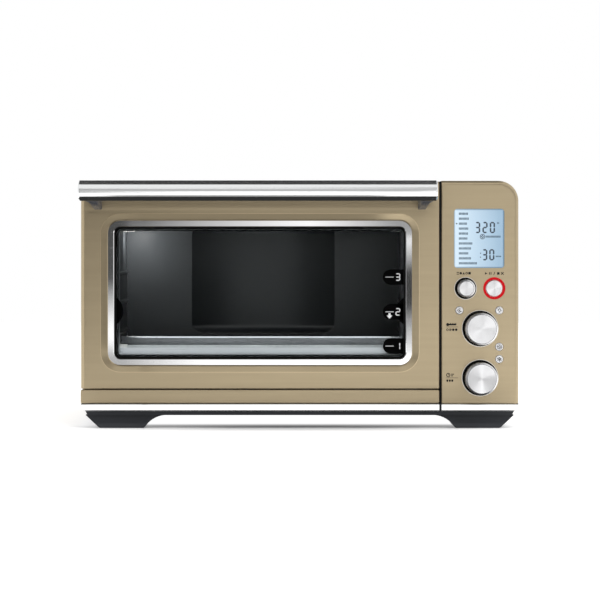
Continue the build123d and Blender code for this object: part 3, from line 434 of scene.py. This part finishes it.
def brushed(name, colour, roughness, metallic, along, vary=0.06):
    """Brushed sheet: fine lines along one axis, with faint longer streaks."""
    material, tree, shader = new_material(name, colour, roughness, metallic)
    fine = 2500.0
    lines = noise(tree, stretched(fine, along, fine / 150), 2.0)
    streaks = noise(tree, stretched(fine / 12, along, fine / 400), 3.0)
    shade(tree, shader, streaks, colour, 1 - vary, 1 + vary)
    vary_roughness(tree, shader, lines, roughness - 0.05, roughness + 0.05)
    bump(tree, shader, lines, 0.35, 0.02 * mm)
    return material


def moulded(name, colour, roughness, grain=900.0, depth=0.03, vary=0.12, specular=0.5, uneven=0.06):
    """Moulded plastic or coat with a fine grain, whose depth is in millimetres."""
    material, tree, shader = new_material(name, colour, roughness, Specular_IOR_Level=specular)
    fine = noise(tree, (grain, grain, grain), 2.0)
    broad = noise(tree, (25, 25, 25), 2.0)
    shade(tree, shader, broad, colour, 1 - vary, 1 + vary)
    vary_roughness(tree, shader, fine, roughness - uneven, roughness + uneven)
    bump(tree, shader, fine, 0.4, depth * mm)
    return material


def polished(name, colour, roughness):
    """Polished metal with the faintest lines along X."""
    material, tree, shader = new_material(name, colour, roughness, 1.0)
    lines = noise(tree, stretched(420.0, "X", 2.0), 2.0)
    shade(tree, shader, lines, colour, 0.985, 1.01)
    vary_roughness(tree, shader, lines, roughness * 0.97, roughness * 1.03)
    return material


def grooved(tree, shader, axis):
    """Let reflections run out along fine grooves around an axis."""
    shader.inputs["Anisotropic"].default_value = 0.95
    tangent = tree.nodes.new("ShaderNodeTangent")
    tangent.direction_type = "RADIAL"
    tangent.axis = axis
    tree.links.new(tangent.outputs[0], shader.inputs["Tangent"])


def drawn(name, colour, roughness):
    """A drawn tube along X, whose reflections run out along its length."""
    material = polished(name, colour, roughness)
    tree = material.node_tree
    shader = tree.nodes["Principled BSDF"]
    grooved(tree, shader, "X")
    quarter_turn = 0.25
    shader.inputs["Anisotropic Rotation"].default_value = quarter_turn
    return material


def vector_math(tree, operation, first, second=None):
    """The outputs of a vector math node of a socket and a plain vector."""
    node = tree.nodes.new("ShaderNodeVectorMath")
    node.operation = operation
    tree.links.new(first, node.inputs[0])
    if second:
        node.inputs[1].default_value = second
    return node.outputs


def spun(name, colour, roughness):
    """Turned metal: round grooves about the knob's axis, which draw the light into wedges."""
    material, tree, shader = new_material(name, colour, roughness, 1.0)
    grooved(tree, shader, "Y")
    place = texture_place(tree, "Generated")
    centred = vector_math(tree, "SUBTRACT", place, (0.5, 0.5, 0.5))
    flat = vector_math(tree, "MULTIPLY", centred["Vector"], (1, 0, 1))
    radius = vector_math(tree, "LENGTH", flat["Vector"])["Value"]
    groove = tree.nodes.new("ShaderNodeTexNoise")
    groove.noise_dimensions = "1D"
    groove.inputs["Scale"].default_value = 90.0
    groove.inputs["Detail"].default_value = 2.0
    tree.links.new(radius, groove.inputs["W"])
    shade(tree, shader, groove.outputs["Fac"], colour, 0.93, 1.05)
    bump(tree, shader, groove.outputs["Fac"], 0.25, 0.02 * mm)
    return material


def glowing(name, colour, light, roughness, **inputs):
    """A lit surface whose light is even."""
    material, tree, shader = new_material(name, colour, roughness, **inputs)
    shader.inputs["Emission Color"].default_value = (*light, 1)
    shader.inputs["Emission Strength"].default_value = 1.0
    fine = noise(tree, (700, 700, 700), 1.0)
    vary_roughness(tree, shader, fine, roughness * 0.8, roughness * 1.2)
    return material


def glass(name, colour, ior):
    """Clear glass with the faintest waves in it."""
    material, tree, shader = new_material(name, colour, 0.0, IOR=ior)
    shader.inputs["Transmission Weight"].default_value = 1.0
    bump(tree, shader, noise(tree, (9, 9, 9), 1.0), 0.02, 0.01 * mm)
    return material


def lcd_material():
    """The lit display: pale blue, fading to the right, and darkened towards its edges by painted shade of
    its bezel.
    """
    material, tree, shader = new_material("lcd", (0.02, 0.03, 0.04), 0.35)
    axes = split_axes(tree, texture_place(tree, "Generated"))
    across = tree.nodes.new("ShaderNodeValToRGB")
    left, right = across.color_ramp.elements
    left.color = (0.68, 0.82, 0.93, 1)
    right.color = (0.33, 0.48, 0.62, 1)
    right.position = 0.9
    tree.links.new(axes["X"], across.inputs["Fac"])
    # Painted shade: the display darkens towards its edges to the edge colour, for the shade of its bezel
    inside = []
    for axis, steepness in (("X", 30.0), ("Z", 34.0)):
        offset = calculate(tree, "SUBTRACT", axes[axis], 0.5)
        distance = calculate(tree, "ABSOLUTE", offset)
        inset = calculate(tree, "SUBTRACT", 0.5, distance, clamp=True)
        inside.append(calculate(tree, "MULTIPLY", inset, steepness, clamp=True))
    middle_part = calculate(tree, "MULTIPLY", *inside)
    bezel_shade_colour = (0.10, 0.19, 0.28)
    light = colour_mix(tree, middle_part, bezel_shade_colour, across.outputs["Color"])
    tree.links.new(light, shader.inputs["Emission Color"])
    shader.inputs["Emission Strength"].default_value = 1.0
    return material


champagne = (0.455, 0.370, 0.238)
near_black = (0.004, 0.004, 0.004)
slot_materials = {
    "champagne_paint": brushed("champagne_front", champagne, 0.34, 0.8, "X", vary=0.025),
    "dark_base": moulded("dark_base", (0.019, 0.021, 0.026), 0.5),
    "polished_steel": polished("polished_steel", (0.88, 0.88, 0.88), 0.08),
    "brushed_aluminium": polished("brushed_aluminium", (0.84, 0.85, 0.85), 0.13),
    "inner_steel": brushed("inner_steel", (0.50, 0.51, 0.53), 0.32, 1.0, "X"),
    "cavity_coating": moulded(
        "cavity_coating", (0.0115, 0.0130, 0.0145), 0.34,
        grain=60.0, depth=0.001, vary=0.05, specular=0.40, uneven=0.02,
    ),
    "screw_steel": polished("screw_steel", (0.55, 0.55, 0.56), 0.3),
    "rubber": moulded("rubber", (0.003, 0.003, 0.003), 0.8, specular=0.1),
    "black_plastic": moulded("black_plastic", near_black, 0.6, specular=0.2),
    "clear_glass": glass("clear_glass", (0.92, 0.95, 0.95), ior=1.06),
    "quartz_glass": moulded("quartz_glass", (0.42, 0.44, 0.45), 0.25, grain=300.0, depth=0.01),
    "ceramic": moulded("ceramic", (0.62, 0.62, 0.60), 0.35, grain=400.0),
    "display_lens": glass("display_lens", (0.98, 0.99, 1.0), ior=1.12),
    "circuit_board": moulded("circuit_board", (0.02, 0.12, 0.045), 0.4),
    "knob_metal": spun("knob_metal", (0.86, 0.86, 0.87), 0.36),
    "red_light": glowing(
        "red_light", (0.16, 0.002, 0.003), (0.42, 0.003, 0.008), 0.25, Specular_IOR_Level=0.12
    ),
    "magnet": polished("magnet", (0.35, 0.35, 0.36), 0.3),
}
node_materials = {
    "outer_shell": brushed("champagne_wrap", champagne, 0.36, 0.8, "Y", vary=0.025),
    "cavity_floor": brushed("floor_steel", (0.62, 0.65, 0.68), 0.20, 1.0, "X"),
    "door_handle": drawn("handle_tube", (0.84, 0.85, 0.85), 0.20),
    "handle_brackets": moulded("bracket_coat", (0.085, 0.09, 0.105), 0.3),
}


def dress_nodes():
    """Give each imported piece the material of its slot, or its own."""
    for part in frame["record"]["subparts"]:
        node = frame["nodes"][part["node"]]
        material = node_materials.get(part["node"]) or slot_materials[part["material_slot"]]
        node.data.materials.clear()
        node.data.materials.append(material)
    frame["nodes"]["door_glass"].visible_shadow = False
    frame["nodes"]["display_window"].visible_shadow = False


# Flat prints, drawn as outlines of (x, z) in metres


def rect(x0, x1, z0, z1):
    """A rectangle between two corners."""
    return [(x0, z0), (x1, z0), (x1, z1), (x0, z1)]


def arc(x, z, radius, start, end, steps):
    """Points along part of a circle, both ends included."""
    turns = [start + (end - start) * i / steps for i in range(steps + 1)]
    return [(x + radius * cos(turn), z + radius * sin(turn)) for turn in turns]


def disc(x, z, radius, count=32):
    """A round dot."""
    return arc(x, z, radius, 0, 2 * pi, count)[:-1]


def arc_band(x, z, radius, width, start=0.0, end=360.0, count=32):
    """A ring or part of one, as a row of quads."""
    start, end = radians(start), radians(end)
    inner = arc(x, z, radius - width / 2, start, end, count)
    outer = arc(x, z, radius + width / 2, start, end, count)
    return [[inner[i], outer[i], outer[i + 1], inner[i + 1]] for i in range(count)]


def stroke(x0, z0, x1, z1, width):
    """A straight line of a width."""
    along = atan2(z1 - z0, x1 - x0)
    dx, dz = -sin(along) * width / 2, cos(along) * width / 2
    return [(x0 + dx, z0 + dz), (x0 - dx, z0 - dz), (x1 - dx, z1 - dz), (x1 + dx, z1 + dz)]


def rounded(x0, x1, z0, z1, corner):
    """The outline of a rectangle with round corners."""
    outline = []
    for quarter, x, z in (
        (0, x1 - corner, z1 - corner),
        (1, x0 + corner, z1 - corner),
        (2, x0 + corner, z0 + corner),
        (3, x1 - corner, z0 + corner),
    ):
        outline += arc(x, z, corner, quarter * pi / 2, (quarter + 1) * pi / 2, 8)
    return outline


def border(x0, x1, z0, z1, corner, width):
    """A band round a rectangle with round corners, as a row of quads."""
    inner = rounded(x0, x1, z0, z1, corner)
    outer = rounded(x0 - width, x1 + width, z0 - width, z1 + width, corner + width)
    pairs = list(zip(inner, outer))
    return [[a, b, d, c] for (a, b), (c, d) in zip(pairs, pairs[1:] + pairs[:1])]


def sides(points):
    """The sides of an outline, as pairs of points."""
    return list(zip(points, points[1:] + points[:1]))


def print_piece(name, shapes, y, material, body, thickness=print_thickness):
    """Thin plates in front of a surface at depth y, as one piece; plates that meet are joined."""
    builder = bmesh.new()
    back_y = y - print_lift
    front_y = back_y - thickness
    outlines = []
    for shape in shapes:
        area = sum(a[0] * b[1] - b[0] * a[1] for a, b in sides(shape))
        points = [(round(x, weld_decimals), round(z, weld_decimals)) for x, z in shape]
        outlines.append(points if area > 0 else points[::-1])
    edges = {edge for points in outlines for edge in sides(points)}
    corners = {}
    for x, z in sum(outlines, []):
        if (x, z) not in corners:
            corners[x, z] = [builder.verts.new((x, depth, z)) for depth in (front_y, back_y)]
    for points in outlines:
        builder.faces.new([corners[point][0] for point in points])
        builder.faces.new([corners[point][1] for point in points[::-1]])
        for a, b in sides(points):
            if (b, a) not in edges:
                builder.faces.new((corners[b][0], corners[a][0], corners[a][1], corners[b][1]))
    mesh = bpy.data.meshes.new(name)
    builder.to_mesh(mesh)
    builder.free()
    mesh.materials.append(material)
    obj = link(bpy.data.objects.new(name, mesh))
    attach(obj, body)


# The segments that each figure lights, for the figures in use
segments = {"0": "abcdef", "1": "bc", "2": "abged", "3": "abgcd"}


def digit(mark, x, z, wide, high, line):
    """One seven-segment figure whose lower left corner is at x, z."""
    half = line / 2
    gap = line * 0.05

    def flat(level):
        x0, x1 = x + half + gap, x + wide - half - gap
        ends = [(x0, level), (x0 + half, level - half), (x1 - half, level - half), (x1, level)]
        return ends + [(x1 - half, level + half), (x0 + half, level + half)]

    def upright(place, z0, z1):
        low, top = z0 + gap, z1 - gap
        ends = [(place, low), (place + half, low + half), (place + half, top - half), (place, top)]
        return ends + [(place - half, top - half), (place - half, low + half)]

    waist = z + high / 2
    left, right = x + half, x + wide - half
    shapes = {
        "a": flat(z + high - half),
        "g": flat(waist),
        "d": flat(z + half),
        "b": upright(right, waist, z + high - half),
        "c": upright(right, z + half, waist),
        "f": upright(left, waist, z + high - half),
        "e": upright(left, z + half, waist),
    }
    return [shapes[key] for key in segments[mark]]


def word_blocks(x, z, width, high):
    """A word's place, filled with small plain blocks."""
    block = 1.05 * mm
    gap = 0.32 * mm
    count = max(1, round((width + gap) / (block + gap)))
    pitch = (width + gap) / count
    return [rect(x + i * pitch, x + (i + 1) * pitch - gap, z - high / 2, z + high / 2) for i in range(count)]


def fan_icon(x, z, radius):
    """A ring with four fan blades."""
    shapes = arc_band(x, z, radius, radius * 0.24)
    blade = [(0.12, 0.0), (0.55, -0.42), (0.78, -0.1), (0.6, 0.28)]
    for quarter in range(4):
        turn = 2 * pi * quarter / 4
        c, s = radius * cos(turn), radius * sin(turn)
        shapes.append([(x + u * c - v * s, z + u * s + v * c) for u, v in blade])
    return shapes


# The display: sizes, and places as X and Z in the frame. A row of figures is (text, x, z, pitch)

lens_flange = 3.0 * mm
lcd_inset = 0.2 * mm
lcd_corner = 3.6 * mm
menu_left = 174.6 * mm
menu_top = 235.4 * mm
menu_pitch = 5.43 * mm
menu_high = 2.5 * mm
menu_widths = [9.9, 10.8, 8.8, 10.2, 9.9, 9.3, 14.7, 13.2, 10.2, 13.2, 19.7]
pointer_row = 2
pointer_offset = 3.1 * mm
pointer_length = 1.9 * mm
pointer_half = 1.0 * mm
mode_place = (204.0 * mm, 210.3 * mm)
mode_size = (16.2 * mm, 2.2 * mm)
unit_place = (215.0 * mm, 188.6 * mm)
unit_size = (5.8 * mm, 1.6 * mm)
figure_size = (5.7 * mm, 12.4 * mm)
figure_line = 1.65 * mm
upper_figures = ("320", 192.3 * mm, 214.1 * mm, 8.1 * mm)
lower_figures = ("30", 200.1 * mm, 184.2 * mm, 7.75 * mm)
colon_x = 198.3 * mm
colon_levels = (187.8 * mm, 192.1 * mm)
colon_radius = 0.6 * mm
degree_place = (217.6 * mm, 225.2 * mm)
degree_radius = 0.85 * mm
degree_line = 0.5 * mm
fan_place = (200.5 * mm, 210.3 * mm)
fan_radius = 2.6 * mm


def menu_shapes():
    """Rows of blocks for the programmes, the mode and the unit of time."""
    shapes = []
    for row, width in enumerate(menu_widths):
        shapes += word_blocks(menu_left, menu_top - row * menu_pitch, width * mm, menu_high)
    return shapes + word_blocks(*mode_place, *mode_size) + word_blocks(*unit_place, *unit_size)


def figure_shapes():
    """The pointer of the menu, the two numbers, the colon, the degree ring and the fan."""
    z = menu_top - pointer_row * menu_pitch
    left = menu_left - pointer_offset
    shapes = [[(left, z - pointer_half), (left + pointer_length, z), (left, z + pointer_half)]]
    for text, x, z, pitch in (upper_figures, lower_figures):
        for i, mark in enumerate(text):
            shapes += digit(mark, x + i * pitch, z, *figure_size, figure_line)
    shapes += [disc(colon_x, level, colon_radius, 12) for level in colon_levels]
    shapes += arc_band(*degree_place, degree_radius, degree_line, count=16)
    return shapes + fan_icon(*fan_place, fan_radius)


def make_display():
    """The lit panel inside the lens, with its menu marks and figures."""
    low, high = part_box("display_window")
    back = high.y - lcd_inset
    front = back - print_thickness - 2 * print_lift
    x0, x1 = low.x + lens_flange, high.x - lens_flange
    z0, z1 = low.z + lens_flange, high.z - lens_flange
    outline = rounded(x0, x1, z0, z1, lcd_corner)
    print_piece("lcd_panel", [outline], back, lcd_material(), "oven_body")
    ink = glowing("lcd_ink", (0.01, 0.014, 0.02), (0.008, 0.018, 0.035), 0.4)
    pale = glowing("lcd_pale_ink", (0.02, 0.03, 0.04), (0.06, 0.10, 0.14), 0.4)
    print_piece("lcd_menu", menu_shapes(), front, pale, "oven_body")
    print_piece("lcd_figures", figure_shapes(), front, ink, "oven_body")


# Marks on the control column. Places are measured from the middle of a dial or button

sign_half = 1.35 * mm
marks_left = 37.2 * mm
rule_length = 13.0 * mm
rule_half = 0.2 * mm


def middle(node):
    """The middle of a node's box as (x, z)."""
    low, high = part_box(node)
    return (low.x + high.x) / 2, (low.z + high.z) / 2


def function_marks(x, z):
    """A row of plain cooking signs: bars, dot, triangle, ring and square."""
    half = sign_half
    pitch = 3.2 * mm
    first = x - 2 * pitch
    bar = 0.42 * mm
    ring_line = 0.7 * mm
    shapes = [rect(first - half, first + half, z + s * half - bar, z + s * half + bar) for s in (-0.7, 0.7)]
    shapes.append(disc(first + pitch, z, half))
    shapes.append([(x - half, z - half), (x + half, z - half), (x, z + half)])
    shapes += arc_band(first + 3 * pitch, z, half - ring_line / 2, ring_line, count=20)
    shapes.append(rect(x + 2 * pitch - half, x + 2 * pitch + half, z - half, z + half))
    return shapes


def start_marks(x, z):
    """The common signs for start, pause and stop, with a slash between."""
    half = sign_half
    pitch = 4.4 * mm
    first = x - 2 * pitch
    bar_half = 0.45 * mm
    slash = (0.6 * mm, 1.7 * mm)
    shapes = [[(first - half, z - half), (first + half, z), (first - half, z + half)]]
    for side in (-1, 1):
        bar = x - pitch + side * 0.85 * mm
        shapes.append(rect(bar - bar_half, bar + bar_half, z - half, z + half))
    shapes.append(stroke(x - slash[0], z - slash[1], x + slash[0], z + slash[1], 0.7 * mm))
    shapes.append(rect(x + pitch - half, x + pitch + half, z - half, z + half))
    last = x + 2 * pitch
    for side in (-1, 1):
        shapes.append(stroke(last - half, z - side * half, last + half, z + side * half, 0.8 * mm))
    return shapes


def temperature_marks(x, z):
    """A lying thermometer above a line, and four dots that fill up below it."""
    shapes = [rect(x, x + rule_length, z - rule_half, z + rule_half)]
    bar = z + 2.6 * mm
    bulb = 1.7 * mm
    tube_half = 0.85 * mm
    tick_top = bar + 1.8 * mm
    dots_z = z - 3.0 * mm
    shapes.append(disc(x + bulb, bar, bulb))
    shapes.append(rect(x + bulb, x + 11.2 * mm, bar - tube_half, bar + tube_half))
    for i in range(4):
        tick = x + (4.2 + 2.0 * i) * mm
        shapes.append(rect(tick, tick + 0.8 * mm, bar + tube_half, tick_top))
    for i in range(4):
        dot = x + (1.4 + 3.2 * i) * mm
        shapes += arc_band(dot, dots_z, 1.1 * mm, 0.55 * mm, count=20)
        shapes.append(disc(dot, dots_z, (0.3 + 0.25 * i) * mm, 16))
    return shapes


def time_marks(x, z):
    """A clock face and two bars above a line, and three slices below it."""
    shapes = [rect(x, x + rule_length, z - rule_half, z + rule_half)]
    hub_x, hub_z = x + 2.3 * mm, z + 3.1 * mm
    hand = 0.6 * mm
    shapes += arc_band(hub_x, hub_z, 1.9 * mm, 0.8 * mm)
    shapes.append(stroke(hub_x, hub_z - 0.2 * mm, hub_x, hub_z + 1.4 * mm, hand))
    shapes.append(stroke(hub_x, hub_z, hub_x + 1.2 * mm, hub_z, hand))
    for i in range(2):
        level = hub_z + (0.9 - 1.8 * i) * mm
        bar_end = x + (8.6 - 1.2 * i) * mm
        shapes.append(rect(x + 5.4 * mm, bar_end, level - 0.5 * mm, level + 0.5 * mm))
    for i in range(3):
        left = x + (0.2 + 2.7 * i) * mm
        shapes.append(rect(left + 0.25 * mm, left + 1.95 * mm, z - 4.3 * mm, z - 2.6 * mm))
        shapes.append(rect(left, left + 2.2 * mm, z - 3.0 * mm, z - 1.9 * mm))
    return shapes


def make_panel_marks():
    """Plain pictograms where the panel is labelled."""
    ink = moulded("panel_ink", (0.010, 0.010, 0.009), 0.5, specular=0.2)
    shapes = []
    for node, marks, dx, dz in (
        ("function_knob", function_marks, -2.0 * mm, 16.5 * mm),
        ("start_button", start_marks, 0.0, 16.3 * mm),
        ("temperature_knob", temperature_marks, -marks_left, 1.7 * mm),
        ("time_knob", time_marks, -marks_left, 0.0),
    ):
        x, z = middle(node)
        shapes += marks(x + dx, z + dz)
    print_piece("panel_marks", shapes, face_y, ink, "oven_body")


# Fine lines round the dials and the window. The holes are the panel's, as radii

small_hole = 11.8 * mm
large_hole = 19.6 * mm
ring_sides = 72


def make_bezels():
    """The thin bright ring round each dial's hole."""
    metal = polished("bezel_metal", (0.72, 0.69, 0.63), 0.3)
    gap = 0.3 * mm
    width = 0.55 * mm
    height = 0.3 * mm
    for name, hole in (("function", small_hole), ("temperature", large_hole), ("time", large_hole)):
        shapes = arc_band(*middle(name + "_knob"), hole + gap, width, count=ring_sides)
        print_piece(name + "_bezel", shapes, face_y, metal, "oven_body", height)


def make_recess_edge():
    """The fine bright line along the fold of the window recess: a painted highlight in paint half again as
    light as the champagne.
    """
    # Painted highlight: a lighter copy of the champagne paint stands for the light caught by the fold
    fold_highlight = polished("painted_fold_highlight", tone(champagne, 1.5), 0.3)
    low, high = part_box("window_trim")
    slope = 7.0 * mm
    corner = 21.5 * mm
    width = 0.5 * mm
    height = 0.1 * mm
    shapes = border(low.x - slope, high.x + slope, low.z - slope, high.z + slope, corner, width)
    print_piece("recess_edge", shapes, face_y, fold_highlight, "door", height)


def make_dial_edges():
    """The dark line between the face and the side of each dial: painted shade, a dark ring that stands for
    the shaded edge.
    """
    # Painted shade: a dark metal ring where the edge between face and side falls into shade
    dark = polished("dial_edge_shade", (0.10, 0.10, 0.11), 0.35)
    inset = 1.7 * mm
    width = 0.35 * mm
    for name in ("function", "temperature", "time"):
        low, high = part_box(name + "_knob")
        radius = (high.x - low.x) / 2 - inset
        shapes = arc_band(*middle(name + "_knob"), radius, width, count=ring_sides)
        print_piece(name + "_dial_edge_shade", shapes, low.y, dark, name + "_dial")


# Signs on the small buttons


def plus_mark(x, z):
    """A turning arrow with a plus inside."""
    line = 0.7 * mm
    arm = 0.9 * mm
    foot = z - 1.1 * mm
    shapes = arc_band(x, z, 1.9 * mm, 0.75 * mm, 40, 320)
    shapes.append(stroke(x + 0.6 * mm, foot, x + 2.3 * mm, foot, line))
    shapes.append(stroke(x - arm, z, x + arm, z, line))
    shapes.append(stroke(x, z - arm, x, z + arm, line))
    return shapes


def lamp_mark(x, z):
    """A bulb with five rays."""
    bulb = z + 0.4 * mm
    cap_half = 0.75 * mm
    inner, outer = 2.0 * mm, 2.8 * mm
    shapes = arc_band(x, bulb, 1.3 * mm, 0.7 * mm, -50, 230)
    shapes.append(rect(x - cap_half, x + cap_half, z - 1.9 * mm, z - 1.0 * mm))
    for turn in range(0, 181, 45):
        u, v = cos(radians(turn)), sin(radians(turn))
        ray = (x + inner * u, bulb + inner * v, x + outer * u, bulb + outer * v)
        shapes.append(stroke(*ray, 0.55 * mm))
    return shapes


def fan_mark(x, z):
    """A fan in a ring."""
    return fan_icon(x, z, 2.5 * mm)


def frost_mark(x, z):
    """Three crossed lines with a fork at each end."""
    reach = 2.5 * mm
    fork = 0.55
    tine = 1.0 * mm
    shapes = []
    for turn in (30, 90, 150):
        u, v = reach * cos(radians(turn)), reach * sin(radians(turn))
        shapes.append(stroke(x - u, z - v, x + u, z + v, 0.6 * mm))
        for side in (-1, 1):
            x0, z0 = x + side * u * fork, z + side * v * fork
            for lean in (-40, 40):
                a = radians(turn + lean)
                end = (x0 + side * tine * cos(a), z0 + side * tine * sin(a))
                shapes.append(stroke(x0, z0, *end, 0.5 * mm))
    return shapes


def make_button_marks():
    """A plain pictogram on each small button: plus, lamp, fan and frost."""
    ink = moulded("button_ink", (0.03, 0.032, 0.035), 0.45)
    for index, mark in enumerate((plus_mark, lamp_mark, fan_mark, frost_mark), 1):
        node = f"option_button_{index}"
        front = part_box(node)[0].y
        shapes = mark(*middle(node))
        print_piece(f"button_mark_{index}", shapes, front, ink, f"option_key_{index}")


# Prints on the door glass. Places are measured from the edges of the clear glass

seal_width = 5.6 * mm
disc_radius = 17.2 * mm
disc_drop = 20.1 * mm
disc_depths = (9.9 * mm, 9.4 * mm)
plate_half = 8.5 * mm
plate_reach = 22.5 * mm
level_heights = {"3": 17.2 * mm, "2": -21.0 * mm, "1": -58.6 * mm}
dash_reach = (19.7 * mm, 10.6 * mm)
dash_half = 0.3 * mm
number_size = (5.2 * mm, 8.2 * mm)
number_reach = 8.6 * mm
number_line = 1.1 * mm
arrow_reach = 15.2 * mm
arrow_drop = 4.0 * mm
stem_half = 1.2 * mm
stem_high = 2.4 * mm
head_half = 3.2 * mm
head_high = 3.6 * mm


def half_disc(edge, z, depth, side):
    """The part of a disc that shows beside an edge, whose centre lies behind it by a depth."""
    half = pi / 2 - atan2(depth, (disc_radius**2 - depth**2) ** 0.5)
    points = arc(0.0, 0.0, disc_radius, -half, half, 24)
    return [(edge + side * (dx - depth), z + dz) for dx, dz in points]


def level_plate(right, z):
    """A dark plate at the right edge with a round left end."""
    end = arc(right - plate_reach + plate_half, z, plate_half, pi / 2, 3 * pi / 2, 16)
    return end + [(right, z - plate_half), (right, z + plate_half)]


def level_mark(number, right, z):
    """A dash and a plain number."""
    start, end = dash_reach
    dash = rect(right - start, right - end, z - dash_half, z + dash_half)
    foot = z - number_size[1] / 2
    return [dash] + digit(number, right - number_reach, foot, *number_size, number_line)


def make_glass_prints():
    """The dark half discs and the three level marks, with plain numbers."""
    seal_low, seal_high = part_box("window_gasket")
    left, right = seal_low.x + seal_width, seal_high.x - seal_width
    middle_z = (seal_low.z + seal_high.z) / 2
    glass_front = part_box("door_glass")[0].y
    black = moulded("glass_print", (0.001, 0.001, 0.001), 0.8, specular=0.05)
    white = moulded("glass_white", (0.75, 0.76, 0.77), 0.5)
    disc_z = middle_z - disc_drop
    plates = [half_disc(left, disc_z, disc_depths[0], 1), half_disc(right, disc_z, disc_depths[1], -1)]
    marks = []
    for number, height in level_heights.items():
        plates.append(level_plate(right, middle_z + height))
        marks += level_mark(number, right, middle_z + height)
    x = right - arrow_reach
    z = middle_z + level_heights["2"] - arrow_drop
    marks.append(rect(x - stem_half, x + stem_half, z, z + stem_high))
    marks.append([(x - head_half, z), (x, z - head_high), (x + head_half, z)])
    print_piece("level_plates", plates, glass_front, black, "door")
    front = glass_front - print_thickness - print_lift
    print_piece("level_marks", marks, front, white, "door")


bpy.context.scene.view_settings.view_transform = "Standard"
make_camera()
make_world()
make_floor()
make_room_cards()
make_handle_cards()
make_trim_cards()
make_recess_cards()
make_cavity_card()
make_lights()
dress_nodes()
make_display()
make_panel_marks()
make_bezels()
make_recess_edge()
make_dial_edges()
make_button_marks()
make_glass_prints()
